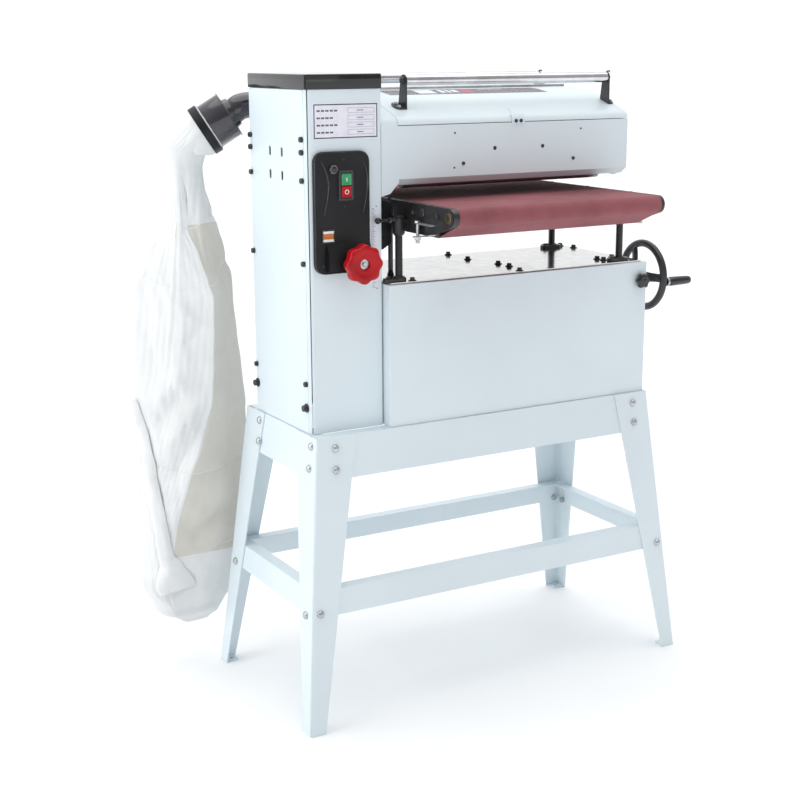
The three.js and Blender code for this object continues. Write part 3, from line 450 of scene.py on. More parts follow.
def prism(bm, outline, axis, low, high, tint=0):
    """A straight prism along X, Y or Z whose outline is (y, z), (x, z) or (x, y) points."""
    place = {
        "X": lambda a, b, t: (t, a, b),
        "Y": lambda a, b, t: (a, t, b),
        "Z": lambda a, b, t: (a, b, t),
    }[axis]
    loft(bm, [[place(a, b, t) for a, b in outline] for t in (low, high)], tint)


def block(bm, x0, x1, y0, y1, z0, z1, tint=0):
    prism(bm, [(x0, y0), (x1, y0), (x1, y1), (x0, y1)], "Z", z0, z1, tint)


def arc(a, b, radius, start, end, steps=8):
    """Points round part of a circle, from and to angles in degrees."""
    angles = [math.radians(start + (end - start) * i / steps) for i in range(steps + 1)]
    return [(a + radius * math.cos(t), b + radius * math.sin(t)) for t in angles]


def rounded(a0, a1, b0, b1, r, steps=6):
    """The outline of a rectangle with round corners."""
    corners = [(a1 - r, b0 + r, -90), (a1 - r, b1 - r, 0), (a0 + r, b1 - r, 90), (a0 + r, b0 + r, 180)]
    return [p for a, b, start in corners for p in arc(a, b, r, start, start + 90, steps)]


def smooth_path(points, steps):
    """A Catmull-Rom curve through points, with this many steps between each two."""
    points = [Vector(p) for p in points]
    ends = [2 * points[0] - points[1], *points, 2 * points[-1] - points[-2]]
    path = []
    for k in range(len(points) - 1):
        a, b, c, d = ends[k : k + 4]
        for i in range(steps):
            t = i / steps
            bend = (2 * a - 5 * b + 4 * c - d) * t**2 + (3 * b - a - 3 * c + d) * t**3
            path.append(0.5 * (2 * b + (c - a) * t + bend))
    return [*path, points[-1]]


def tube(bm, path, radius, sides=14, tint=0, loop=False):
    """A bar swept along a path; radius is a number or a function of the share of the path."""
    path = [Vector(p) for p in path]
    rings = []
    ahead = (path[1] - path[0]).normalized()
    side = across(ahead)[0]
    for i, point in enumerate(path):
        before, after = path[max(i - 1, 0)], path[min(i + 1, len(path) - 1)]
        if loop:
            before, after = path[i - 1], path[(i + 1) % len(path)]
        ahead = (after - before).normalized()
        side = (side - ahead * side.dot(ahead)).normalized()
        up = ahead.cross(side)
        r = radius(i / (len(path) - 1)) if callable(radius) else radius
        angles = [2 * math.pi * k / sides for k in range(sides)]
        rings.append([point + (side * math.cos(t) + up * math.sin(t)) * r for t in angles])
    loft(bm, rings, tint, loop)


def piece(name, body, slot, materials, build, *parts, bevel=0.0, angle=32, replaces=()):
    """Makes one named piece: build(bm, *parts) draws it in millimetres, and it rides on a body."""
    bm = bmesh.new()
    build(bm, *parts)
    bmesh.ops.recalc_face_normals(bm, faces=bm.faces)
    mesh = bpy.data.meshes.new(name)
    bm.to_mesh(mesh)
    bm.free()
    mesh.transform(TO_FRAME)
    made = bpy.data.objects.new(name, mesh)
    SCENE.collection.objects.link(made)
    for material in materials if isinstance(materials, (list, tuple)) else [materials]:
        mesh.materials.append(material)
    soften(made, bevel, angle=angle)
    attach(made, body)
    if replaces:
        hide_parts(*replaces)
    return made


# ---- Fasteners ----
def dome_bolt(bm, place, out):
    """A carriage bolt's low dome."""
    dome = [(0, 7.6), (1, 8), (2.6, 7.6), (4.4, 6.2), (5.8, 4), (6.4, 1.6), (6.5, 0.01)]
    turned(bm, place, out, dome, 28)


def hex_bolt(bm, place, out, size=5.0, height=5.0, washer=0.0, tint=0):
    """A hexagon head with a chamfered top, on a washer if it has one."""
    if washer:
        turned(bm, place, out, [(0, washer), (1.2, washer), (1.2, 0.01)], 28, tint)
    base = 1.0 if washer else 0.0
    profile = [(base, size), (base + height - 0.8, size), (base + height, size * 0.86), (base + height, 0.01)]
    turned(bm, place, out, profile, 6, tint)


def cap_screw(bm, place, out, size=4.6, height=4.5):
    """A socket cap screw with its hexagon recess."""
    head = [(0, size), (height - 0.8, size), (height, size * 0.85), (height, size * 0.56)]
    turned(bm, place, out, head, 24)
    floor, mouth = height - 2.4, height - 0.05
    turned(bm, place, out, [(floor, 0.01), (floor, size * 0.5), (mouth, size * 0.5), (mouth, size * 0.62)], 6)


def pan_screw(bm, place, out, size=3.6, tint=0):
    """A small crosshead screw."""
    head = [(0, size), (0.9, size), (1.9, size * 0.72), (2.2, size * 0.3), (1.4, 0.01)]
    turned(bm, place, out, head, 20, tint)


def many(bm, shape, places, out, **options):
    for place in places:
        shape(bm, place, out, **options)


# ---- Stand ----
STAND_SIZE = Vector((816, 330, 589))
SPLAY = Vector((55, 62, 0))
FRONT_BOLTS = [(40.5, 566.5), (39, 523.7), (-15, 244)]  # (x, z) on the front left leg's front face
SIDE_BOLTS = {"front": [(18, 571.5), (20, 527), (-8, 236)], "back": [(71, 572), (73, 528), (-7, 242)]}


def stand_bolts(bm):
    """Carriage bolts on each leg's two outer faces, and their nuts inside."""
    rise, sheet_and_gap = STAND_SIZE.z, 6.2
    for right in (False, True):
        for back in (False, True):
            sx, sy = (1 if right else -1), (1 if back else -1)
            flip_x = (lambda v: STAND_SIZE.x - v) if right else (lambda v: v)
            flip_y = (lambda v: STAND_SIZE.y - v) if back else (lambda v: v)
            out_x = Vector((sx, 0, SPLAY.x / rise)).normalized()
            out_y = Vector((0, sy, SPLAY.y / rise)).normalized()
            bolts = [((flip_x(x), flip_y(-SPLAY.y * (1 - z / rise)), z), out_y) for x, z in FRONT_BOLTS]
            bolts += [((flip_x(-SPLAY.x * (1 - z / rise)), flip_y(y), z), out_x)
                      for y, z in SIDE_BOLTS["back" if back else "front"]]
            for place, out in bolts:
                dome_bolt(bm, place, out)
                hex_bolt(bm, Vector(place) - out * sheet_and_gap, -out, 7.2, 6.0)


# ---- Drive cabinet ----
COVER_FACE = 6.8
COVER_SCREWS = {49.5: (1160, 1136, 1083, 925, 689), 281.5: (1159, 1135, 1085, 925, 688)}  # heights at each y
PLATE = {"x": (21.5, 161.7), "z": (1159, 1227), "front": 33.2}
SCALE = {"x": (145.5, 160), "z": (866, 1031), "front": 33.3}


def cover_screws(bm):
    for y, heights in COVER_SCREWS.items():
        many(bm, cap_screw, [(COVER_FACE, y, z) for z in heights], -X, size=5.4, height=6)
    for y, z in ((50.5, 641), (280.5, 648)):
        knob = [(0, 9), (2.5, 9), (3, 6.4), (9, 6.4), (9.6, 5.6), (9.6, 3.4)]
        turned(bm, (COVER_FACE, y, z), -X, knob, 32)
        turned(bm, (COVER_FACE, y, z), -X, [(7, 0.01), (7, 3.3), (9.5, 3.3), (9.5, 3.6)], 6)


def rating_plate(bm):
    """A rating plate without lettering: a dark border, and four rows of blank bars beside boxes."""
    (x0, x1), (z0, z1), y = PLATE["x"], PLATE["z"], PLATE["front"]
    block(bm, x0, x1, y, 34.2, z0, z1, 0)
    ink = y - 0.12
    frame_bars = [(x0 + 2.2, x1 - 2.2, z0 + 2.2, z0 + 4.2), (x0 + 2.2, x1 - 2.2, z1 - 4.2, z1 - 2.2)]
    frame_bars += [(x0 + 2.2, x0 + 4.2, z0 + 4.2, z1 - 4.2), (x1 - 4.2, x1 - 2.2, z0 + 4.2, z1 - 4.2)]
    for a, b, c, d in frame_bars:
        block(bm, a, b, ink, y + 0.05, c, d, 1)
    for row in range(4):
        z = z1 - 14.5 - row * 13.4
        for k in range(5 - row % 2):
            block(bm, x0 + 8.5 + k * 9.2, x0 + 15.4 + k * 9.2, ink, y + 0.05, z - 1.6, z + 1.6, 2)
        bx0, bx1, half = x0 + 74, x1 - 9, 4.8
        for a, b, c, d in ((bx0, bx1, z - half, z - half + 0.8), (bx0, bx1, z + half - 0.8, z + half),
                           (bx0, bx0 + 0.8, z - half, z + half), (bx1 - 0.8, bx1, z - half, z + half)):
            block(bm, a, b, ink, y + 0.05, c, d, 3)
        block(bm, bx0 + 20, bx0 + 34, ink, y + 0.05, z - 0.7, z + 0.7, 2)


def depth_scale(bm):
    """A steel scale with a tick every 2.5 mm and longer ones every 5 and 10 mm."""
    (x0, x1), (z0, z1), y = SCALE["x"], SCALE["z"], SCALE["front"]
    prism(bm, rounded(x0, x1, z0, z1, 1.5, 3), "Y", y, 34.2, 0)
    ticks = int((z1 - z0 - 8) / 2.5)
    for k in range(ticks + 1):
        z = z0 + 4 + k * 2.5
        length = 7.5 if k % 4 == 0 else (5.2 if k % 2 == 0 else 3.2)
        block(bm, x0 + 1, x0 + 1 + length, y - 0.1, y + 0.05, z - 0.28, z + 0.28, 1)
    for z in (z0 + 2.2, z1 - 2.2):
        pan_screw(bm, ((x0 + x1) / 2 + 3, y, z), -Y, 1.6, 2)


def top_cap(bm):
    """The drive cabinet's moulded cap: round corners and a rounded upper edge."""
    x0, x1, y0, y1, low, high = 4.8, 169.9, 32, 290.5, 1252.3, 1280
    levels = ((3.5, low, 3), (0.6, low, 4), (0, low + 1, 4), (0, high - 3, 4), (0.3, high - 1.6, 4),
              (1.0, high - 0.7, 4), (2.2, high - 0.1, 4), (4, high, 4), (7, high, 4))
    rings = []
    for inset, z, corner in levels:
        outline = rounded(x0 + inset, x1 - inset, y0 + inset, y1 - inset, corner, 7)
        rings.append([(x, y, z) for x, y in outline])
    loft(bm, rings)


def conduit_glands(bm):
    """The gland nuts at both ends of the conduit, the wiring box's lid screws and its lid joint."""
    foot = Vector((210.5, 75, 878.7))
    turned(bm, foot, Z, [(0, 9), (2.5, 9), (2.5, 7)], 28)
    turned(bm, foot, Z, [(2.5, 7.6), (9.5, 7.6), (10.3, 6.8), (10.3, 3.7)], 6)
    turned(bm, foot, Z, [(10.3, 5.4), (15, 5.1), (16.5, 4.2), (16.5, 3.7)], 28)
    turned(bm, (186, 75, 1031), Z, [(0, 6.5), (2, 6.5), (2.6, 5.6), (4.5, 5.2), (4.5, 3.8)], 28)
    for z in (962, 1022):
        for y in (62, 84):
            pan_screw(bm, (202.2, y, z), X, 2.6)
        pan_screw(bm, (185, 56, z), -Y, 2.6)
    block(bm, 169, 202.6, 55.6, 90.4, 1012, 1013.2)


def conduit_sleeve(bm):
    """The grey plastic sleeve of the conduit, from over the wiring box down to the gland."""
    path = [(172, 75, 1033.5), (184, 75, 1035), (196, 75, 1034), (205, 75, 1028), (210, 75, 1016),
            (210.5, 75, 1000), (210.5, 75, 950), (210.5, 75, 896)]
    tube(bm, smooth_path(path, 5), 5, 16)


# ---- Control panel ----
PANEL_FRONT = 26.0
SWITCH_X, SWITCH_Z = 85, 1072.7
START_Z, STOP_Z = 1084.2, 1060.8
RESET_X, RESET_Z = 59, 1104
KNOB_AT = Vector((101.6, 11.7, 925.5))
PANEL_RIBS = [  # (x, z) places along each rib
    [(34, 1119.7), (43.3, 1101.2), (49, 1077.3), (47.3, 1049.3), (39.4, 1018.3)],
    [(121, 1121.6), (130.7, 1099.5), (132.9, 1071), (128.8, 1040.5), (123.5, 1018.8)],
]


def panel_trim(bm):
    """Raised crescent ribs beside the switches, and the moulded rim round the panel."""
    for places in PANEL_RIBS:
        path = smooth_path([(x, PANEL_FRONT - 0.2, z) for x, z in places], 6)
        tube(bm, path, lambda s: 0.5 + 1.5 * math.sin(math.pi * min(max(s, 0.02), 0.98)) ** 0.5, 10)
    rim = [(x, PANEL_FRONT - 0.1, z) for x, z in rounded(20.4, 136.1, 906.4, 1135.6, 18.8, 8)]
    tube(bm, rim, 1.1, 8, loop=True)


def panel_screws(bm):
    many(bm, pan_screw, [(x, PANEL_FRONT, z) for x, z in ((81, 1122), (83, 1034), (36, 921))], -Y, size=2.5)


def bezel(bm, outer, inner, front, back):
    """A frame between two outlines with the same number of (x, z) points."""
    edges = ((outer, back), (outer, front), (inner, front), (inner, back))
    loft(bm, [[(a, y, b) for a, b in outline] for outline, y in edges], loop=True)


def switch_frame(bm):
    """The two-button switch's bezel: a raised rim with a bridge between the buttons."""
    x, z = SWITCH_X, SWITCH_Z
    inner = rounded(x - 11.3, x + 11.3, z - 24, z + 24, 1.5)
    steps = ((17, 29, 4, 24.6, PANEL_FRONT), (15.8, 27.6, 3.4, 21.7, 24.8))
    for half_x, half_z, corner, front, back in steps:
        bezel(bm, rounded(x - half_x, x + half_x, z - half_z, z + half_z, corner), inner, front, back)
    block(bm, x - 11.5, x + 11.5, 21.9, 25, z - 0.55, z + 0.15)


def button_cap(bm, z):
    """A button's face with a shallow dish, in front of its moving block."""
    x, rings = SWITCH_X, []
    steps = ((0, 25.5, 1.8), (0, 19.8, 1.8), (0.7, 18.9, 1.8), (1.6, 18.75, 1.8), (3.5, 19.2, 2),
             (8, 19.35, 1))
    for inset, y, corner in steps:
        outline = rounded(x - 10.5 + inset, x + 10.5 - inset, z - 11 + inset, z + 11 - inset, corner)
        rings.append([(a, y, b) for a, b in outline])
    loft(bm, rings)


def start_mark(bm):
    block(bm, SWITCH_X - 0.9, SWITCH_X + 0.9, 18.85, 19.4, START_Z - 3.7, START_Z + 3.7)


def stop_mark(bm):
    turned(bm, (SWITCH_X, 19.4, STOP_Z), -Y, [(0, 3.2), (0.5, 3.2), (0.5, 4.5), (0, 4.5)], 32, loop=True)


def reset_nut(bm):
    """The reset button's ring nut, with a knurled collar."""
    ring = [(0, 6), (0, 9.4), (3, 9.4), (3.6, 8.6), (3.6, 6)]
    turned(bm, (RESET_X, PANEL_FRONT, RESET_Z), -Y, ring, 6, loop=True)
    knurl = lambda angle, radius: 1 + (0.03 * math.cos(30 * angle) if radius > 7 else 0)
    collar = [(0, 5.6), (0, 8), (1.8, 8), (2.3, 7.2), (2.3, 5.6)]
    turned(bm, (RESET_X, PANEL_FRONT - 3.5, RESET_Z), -Y, collar, 120, lobe=knurl, loop=True)


def reset_cap(bm):
    cap = [(0, 5), (5.6, 5), (6.4, 4.5), (6.8, 3.4), (6.6, 0.01)]
    turned(bm, (RESET_X, 25.4, RESET_Z), -Y, cap, 32)


def rocker_frame(bm):
    outer, inner = rounded(32.5, 59.5, 964.8, 991.2, 2.5), rounded(34.7, 57.3, 966.9, 989.1, 1)
    bezel(bm, outer, inner, 23.8, PANEL_FRONT)


def rocker_face(bm):
    """The rocker's lens: an orange middle between white ends, dished from end to end."""
    low, height, steps = 968, 20, 18
    proud = lambda z: 0.9 if z < low + height / 2 else 0
    depth = lambda z: 20.6 + 2.4 * math.sin(math.pi * (z - low) / height) + proud(z)
    for k in range(steps):
        z0, z1 = low + height * k / steps, low + height * (k + 1) / steps
        section = ((depth(z0), z0), (depth(z1), z1), (27, z1), (27, z0))
        prism(bm, section, "X", 35.3, 56.7, 1 if k < 4 or k > 13 else 0)


def speed_knob(bm):
    """The eight-lobed knob, dished in front, with its spindle."""
    lobe = lambda angle, radius: 1 + 0.055 * math.cos(8 * angle) * min(1, max(0, (radius - 22) / 14)) ** 1.5
    profile = [(0.4, 10), (12, 10), (12, 30), (12.6, 33.6), (14.4, 35.9), (17, 37), (30, 37), (32.6, 36.3),
               (34.8, 34.4), (35.8, 31.6), (36, 29), (35.6, 25), (34.6, 21.4), (34.2, 18.6), (34.4, 14.6),
               (34, 12), (33, 10.6), (27, 10.2), (27, 0.01)]
    turned(bm, KNOB_AT, -Y, profile, 128, lobe=lobe)


def knob_bolt(bm):
    turned(bm, KNOB_AT, -Y, [(27, 9.4), (27.8, 9.4), (27.8, 5)], 32)
    cap_screw(bm, KNOB_AT - Y * 27.6, -Y, 4.4, 3.6)


# ---- Lift cabinet and its top plate ----
PLATE_TOP = 878.3
PLATE_BOLTS = [(484, 218), (503, 127), (503, 85), (485, 20), (744, 300), (788, 296), (796, 255), (727, 76),
               (730, 57), (770, 80), (230, 22), (487, 304)]
POST_X, POST_Y = {"left": 206.6, "right": 754}, {"front": 35, "back": 283}
POSTS = {f"{end}_{side}": (x, y) for end, y in POST_Y.items() for side, x in POST_X.items()}


def plate_bolts(bm):
    for x, y in PLATE_BOLTS:
        place = Vector((x, y, PLATE_TOP))
        turned(bm, place, Z, [(0, 8.2), (1.4, 8.2), (2.2, 6.6)], 30)
        hex_bolt(bm, place + Z * 2, Z, 5.6, 5.2)


def screw_flanges(bm):
    """A cast flange round each lift screw, longer on its left side, with a bolt there."""
    for x, y in POSTS.values():
        left, right = (24, 4.4) if x < 300 else (18, 12)
        ends = arc(x + right, y, 11, -90, 90, 10) + arc(x - left, y, 11, 90, 270, 10)
        rings = [[(a, b, z) for a, b in ends] for z in (PLATE_TOP, PLATE_TOP + 6)]
        inset = [(x + (a - x) * 0.96, y + (b - y) * 0.92, PLATE_TOP + 7) for a, b in ends]
        loft(bm, [*rings, inset])
        turned(bm, (x, y, PLATE_TOP + 6.6), Z, [(0, 12.5), (2.4, 12), (3.2, 11), (3.2, 8.9)], 36)
        hex_bolt(bm, (x - left, y, PLATE_TOP + 6.6), Z, 4.8, 4.4)


def screw_thread(bm, x, y, worm):
    """A lift screw with a real trapezoid thread, its sprocket, and on one of them the worm wheel."""
    pitch, root, crest, low, high, sides, per_turn = 4.0, 6.9, 8.0, 800, 1008, 20, 8
    shape = [0, 0.1, 0.9, 1, 1, 0.9, 0.1, 0]
    rings = []
    count = int((high - low) / pitch * per_turn)
    for k in range(count + 1):
        ring = []
        for i in range(sides):
            angle = 2 * math.pi * i / sides
            phase = (k / per_turn - i / sides) % 1 * per_turn
            j = int(phase) % per_turn
            step = shape[(j + 1) % per_turn] - shape[j]
            r = root + (crest - root) * (shape[j] + step * (phase - int(phase)))
            ring.append((x + r * math.cos(angle), y + r * math.sin(angle), low + pitch * k / per_turn))
        rings.append(ring)
    loft(bm, rings)
    teeth = lambda angle, radius: 1 + (0.035 * math.cos(20 * angle) if radius > 15 else 0)
    turned(bm, (x, y, 850), Z, [(0, 8), (0, 19.2), (6, 19.2), (6, 8)], 80, lobe=teeth, loop=True)
    if worm:
        turned(bm, (x, y, 829), Z, [(0, 8), (0, 18.6), (14, 18.6), (14, 8)], 80, lobe=teeth, loop=True)


def boss_nuts(bm):
    """The washer and nut under each of the table's bosses, and the nut on top of it."""
    for x, y in POSTS.values():
        turned(bm, (x, y, 974.8), -Z, [(0, 9), (0, 12.6), (2, 12.6), (2, 9)], 32, loop=True)
        turned(bm, (x, y, 972.8), -Z, [(0, 9), (0, 11.8), (2.6, 11.8), (3.2, 10.8), (3.2, 9)], 6, loop=True)
        turned(bm, (x, y, 1003.2), Z, [(0, 9), (0, 11.6), (4, 11.6), (4.8, 10.8), (4.8, 9)], 6, loop=True)


def cabinet_screws(bm):
    """Sheet metal screws along the lift cabinet's back and right walls, and the back of the drive cabinet."""
    for x in (190, 395, 585, 790):
        for z in (606, 862):
            pan_screw(bm, (x, 318, z), Y, 4)
    for y in (24, 163, 302):
        for z in (606, 862):
            if (y, z) != (24, 862):
                pan_screw(bm, (810.4, y, z), X, 4)
    for z in (640, 925, 1210):
        for x in (22, 152):
            pan_screw(bm, (x, 288.5, z), Y, 4)


# ---- Head and hood ----
HOOD_CURVE = [(34, 1181.2), (34.6, 1185), (36.6, 1189.6), (40, 1193.8), (44.8, 1197), (52, 1200),
              (76, 1208.3), (128, 1226), (145.5, 1231), (165, 1235), (203.5, 1240), (232, 1242), (262, 1243)]


def hood_height(y):
    for (y0, z0), (y1, z1) in zip(HOOD_CURVE, HOOD_CURVE[1:]):
        if y <= y1:
            return z0 + (z1 - z0) * (y - y0) / (y1 - y0)
    return HOOD_CURVE[-1][1]


def on_hood(bm, x0, x1, y0, y1, thick, tint=0, slant=0.0):
    """A thin strip that lies on the curved hood."""
    steps, gap = 10, 0.02
    line = [y0 + (y1 - y0) * k / steps for k in range(steps + 1)]
    section = [(y, gap) for y in line] + [(y, thick) for y in reversed(line)]
    ends = [[(x + slant * (y - y0), y, hood_height(y) + lift) for y, lift in section] for x in (x0, x1)]
    loft(bm, ends, tint)


def hood_decal(bm):
    """A plain dark strip with a few colour blocks and no lettering."""
    on_hood(bm, 262, 648, 162, 226, 0.35, 0)
    for x0, x1, y0, y1, tint in ((336, 378, 170, 218, 1), (392, 404, 176, 212, 1), (410, 418, 176, 212, 1),
                                 (424, 438, 180, 208, 1), (446, 470, 172, 216, 2), (500, 560, 206, 212, 1)):
        on_hood(bm, x0, x1, y0, y1, 0.5, tint, slant=0.12)


def hood_latch(bm):
    """The catch on the hood's front, a small bent plate with two screws."""
    profile = [(33.8, 1176), (31.6, 1176), (31.6, 1186), (34.6, 1193), (38.6, 1197.6), (39.8, 1196.2),
               (36, 1191), (33.8, 1185)]
    prism(bm, profile, "X", 470, 500, 0)
    for x in (479, 491):
        turned(bm, (x, 31.8, 1183), -Y, [(0, 3.8), (1.8, 3.6), (2.4, 2.6), (2.4, 1.2), (1.4, 0.01)], 20, 1)


def hood_crease(bm):
    tube(bm, [(477, 42, 1196.6), (480, 55, 1202), (483, 68, 1206)], 0.8, 8)


def hood_hinge(bm):
    """The piano hinge along the hood's back edge."""
    for k in range(27):
        x = 212 + k * 20.4
        turned(bm, (x, 262, 1245.2), X, [(0.3, 2.2), (0.3, 3.2), (20.1, 3.2), (20.1, 2.2)], 16, 0)


HEAD_FRONT, HEAD_BACK, HEAD_RIGHT = 34, 318, 766
DRUM_Y, DRUM_Z = 163, 1117


def head_dots(bm):
    """Small plugs and screws on the head's front, two of them black discs painted in for the shade of open
    holes, and screws on its back and right walls.
    """
    # The two larger black discs, at x 430 and 547, are painted shade where the head has open holes.
    for x, z, size in ((430, 1130.5, 4), (547, 1130.5, 4), (335, 1163, 2), (334, 1095, 2), (643, 1163, 2)):
        plug = [(0, size), (0.5, size), (0.8, size * 0.8), (0.3, size * 0.7), (0.2, 0.01)]
        turned(bm, (x, HEAD_FRONT, z), -Y, plug, 20)
    many(bm, cap_screw, [(x, HEAD_FRONT, 1103) for x in (355, 625)], -Y, size=3.6, height=2.6)
    for x in (190, 240, 430, 545, 735):
        many(bm, pan_screw, [(x, HEAD_BACK, z) for z in (1225 if x > 200 else 1160, 1082)], Y)
    many(bm, pan_screw, [(HEAD_RIGHT, y, 1160) for y in (60, 163, 290)], X)


def bearing_bolts(bm):
    """The right drum bearing's round cover and flange bolts, on the head's right wall."""
    for y, z in arc(DRUM_Y, DRUM_Z, 27, 45, 315, 3):
        hex_bolt(bm, (HEAD_RIGHT, y, z), X, 5, 4, washer=7)
    turned(bm, (HEAD_RIGHT, DRUM_Y, DRUM_Z), X, [(0, 17), (2.5, 17), (4, 15.5), (4.6, 12), (4.6, 0.01)], 36)


# ---- Return rollers and their brackets ----
RETURN = {"front": {"y": 89, "left": 250, "foot": 92}, "back": {"y": 298, "left": 221, "foot": 298}}
ROLLER_Z, ROLLER_LENGTH = 1265, 498
HEAD_TOP = 1243.0


def level_under(end):
    """The height of the surface that a bracket stands on, as a function of y."""
    return hood_height if end == "front" else (lambda y: HEAD_TOP)


def return_roller(bm, end):
    spindle = [(-3.9, 0.01), (-3.9, 4), (2, 4), (2, 10.2), (2.8, 11)]
    profile = spindle + [(ROLLER_LENGTH - along, radius) for along, radius in reversed(spindle)]
    turned(bm, (RETURN[end]["left"], RETURN[end]["y"], ROLLER_Z), X, profile, 48)

def bracket(bm, end, right):
    """An upright with a round eye, and a foot turned outwards along the surface below it."""
    y, foot_y, level = RETURN[end]["y"], RETURN[end]["foot"], level_under(end)
    at = RETURN[end]["left"] + (ROLLER_LENGTH if right else 0)
    y0, y1 = foot_y - 15, foot_y + 15
    eye = arc(y, ROLLER_Z, 11.5, -8, 188, 18)
    foot = [(y0, level(y0) + 0.35), (y1, level(y1) + 0.35), (y1 - 0.4, level(y1) + 5)]
    prism(bm, [*foot, *eye, (y0 + 0.4, level(y0) + 5)], "X", at - 1.6, at + 1.6)
    side, reach = (1, 17) if right else (-1, 23)
    angles = [math.radians(90 - 180 * k / 12) for k in range(13)]
    nose = [(reach - 9 + 9 * math.cos(t), foot_y + 15 * math.sin(t)) for t in angles]
    outline = [(at + side * a, b) for a, b in [(0, y0), (0, y1), *nose]]
    loft(bm, [[(a, b, level(b) + lift) for a, b in outline] for lift in (0.35, 3.2)])
    cap = [(1.4, 7.5), (3.2, 7.5), (4, 6.4), (6.4, 6), (7, 4.8), (7, 0.01)]
    turned(bm, (at, y, ROLLER_Z), X * side, cap, 28)
    if right:
        hook = [(at + dx, y, ROLLER_Z + dz) for dx, dz in ((1, 10), (3, 12.2), (7, 12.6), (9, 10.5))]
        tube(bm, smooth_path(hook, 5), 1.6, 10)


def bracket_bolts(bm, end):
    left, foot_y, level = RETURN[end]["left"], RETURN[end]["foot"], level_under(end)
    for x in (left - 13, left + ROLLER_LENGTH + 10):
        for y in (foot_y - 7.5, foot_y + 7.5):
            slope = Vector((0, -(level(y + 1) - level(y - 1)) / 2, 1)).normalized()
            hex_bolt(bm, (x, y, level(y) + 3.1), slope, 3.6, 3, washer=4.8)


# ---- Feed table ----
def wrap(circles, grow=0.0, step=6):
    """The outline of a band pulled round circles (a, b, radius), which run counter-clockwise."""
    ring = [(a, b, r + grow) for a, b, r in circles]
    normals = []
    for i, (a, b, r) in enumerate(ring):
        c, d, q = ring[(i + 1) % len(ring)]
        length = math.hypot(c - a, d - b)
        normals.append(math.atan2(d - b, c - a) - math.pi / 2 + math.asin((r - q) / length))
    points = []
    for i, (a, b, r) in enumerate(ring):
        start = normals[i - 1]
        turn = (normals[i] - start) % (2 * math.pi)
        steps = max(1, math.ceil(math.degrees(turn) / step))
        angles = [start + turn * k / steps for k in range(steps + 1)]
        points += [(a + r * math.cos(t), b + r * math.sin(t)) for t in angles]
    return points


TABLE_FRONT, BELT_LEFT, BELT_RIGHT, BELT_THICKNESS = -127.4, 236, 718, 1.9
CASTING_LEFT, CASTING_RIGHT = 222, 725
BED_TOP = 1033.6
BELT_CIRCLES = [(-66, 984, 12), (382.6, 984, 12), (444, 1016, 17.5), (TABLE_FRONT, 1016, 17.5)]


def feed_belt(bm):
    """The endless abrasive belt, with rounded thin edges."""
    outer, inner = wrap(BELT_CIRCLES), wrap(BELT_CIRCLES, -BELT_THICKNESS)
    left, right = BELT_LEFT + 0.2, BELT_RIGHT - 0.2
    section = ((left, 0.5), (BELT_LEFT, 0.9), (left, 1), (right, 1), (BELT_RIGHT, 0.9), (right, 0.5),
               (right, 0), (left, 0))
    rings = []
    for x, share in section:
        rings.append([(x, c + (a - c) * share, d + (b - d) * share) for (a, b), (c, d) in zip(outer, inner)])
    loft(bm, rings, loop=True)


def belt_splice(bm):
    """The belt's slanting joint, a fine raised tape across the bed."""
    step, slant, half, low, high = 19.9, 0.28, 5, 1033.4, 1033.75
    for k in range(24):
        ends = [(238 + step * i, 30 + step * i * slant) for i in (k, k + 1)]
        loft(bm, [[(x, y - half, low), (x, y + half, low), (x, y + half, high), (x, y - half, high)]
                  for x, y in ends])


def table_bolts(bm):
    """Dark fasteners on the table's side castings."""
    hex_bolt(bm, (CASTING_LEFT, 6, 1016), -X, 4.6, 2.6, washer=6.2)
    plug = [(0, 8.4), (1.8, 8.4), (2.6, 7.6), (2.6, 4.6), (0.6, 4.2), (0.6, 0.01)]
    turned(bm, (CASTING_LEFT, -30, 1018), -X, plug, 36)
    hex_bolt(bm, (CASTING_LEFT, 46, 1000), -X, 4.2, 2.6, washer=6)
    many(bm, hex_bolt, [(CASTING_LEFT, y, 1015) for y in (330, 372, 398)], -X, height=3.4, washer=7)
    right_bolts = [(CASTING_RIGHT, y, 1014) for y in (-72, -18, 80, 200, 330, 398)]
    many(bm, hex_bolt, right_bolts, X, size=4.6, height=3.4, washer=6.4)
    for y in (-40, 110, 240, 360):
        turned(bm, (229, y, BED_TOP), Z, [(0, 4.4), (1.0, 4.2), (1.5, 3), (0.7, 2), (0.5, 0.01)], 20)
        small = [(0, 2.9), (0.8, 2.7), (1.2, 2), (0.6, 1.4), (0.5, 0.01)]
        turned(bm, (CASTING_RIGHT - 3.4, y, BED_TOP), Z, small, 20)


def take_up(bm, x, out):
    """A roller's round bearing cap with its bronze bush, and the hexagon screw in its ring behind it."""
    roller, ring = (x, TABLE_FRONT, 1016), (x, -81, 1016.5)
    turned(bm, roller, out, [(0.1, 15.6), (1.4, 15.6), (2.0, 14.8), (2.0, 10.8)], 36, 0)
    turned(bm, roller, out, [(0.1, 10.6), (2.6, 10.6), (3.0, 10.1), (3.0, 7.0), (0.6, 6.9)], 36, 1)
    turned(bm, roller, out, [(0.1, 6.8), (2.2, 6.8), (2.6, 6.2), (2.6, 0.01)], 28, 2)
    turned(bm, ring, out, [(0.1, 9.6), (1.6, 9.6), (2.2, 9), (2.2, 6.4), (0.8, 6.2)], 36, 0)
    turned(bm, ring, out, [(0.1, 5.8), (2.2, 5.8), (2.6, 5.4), (2.6, 0.01)], 6, 2)


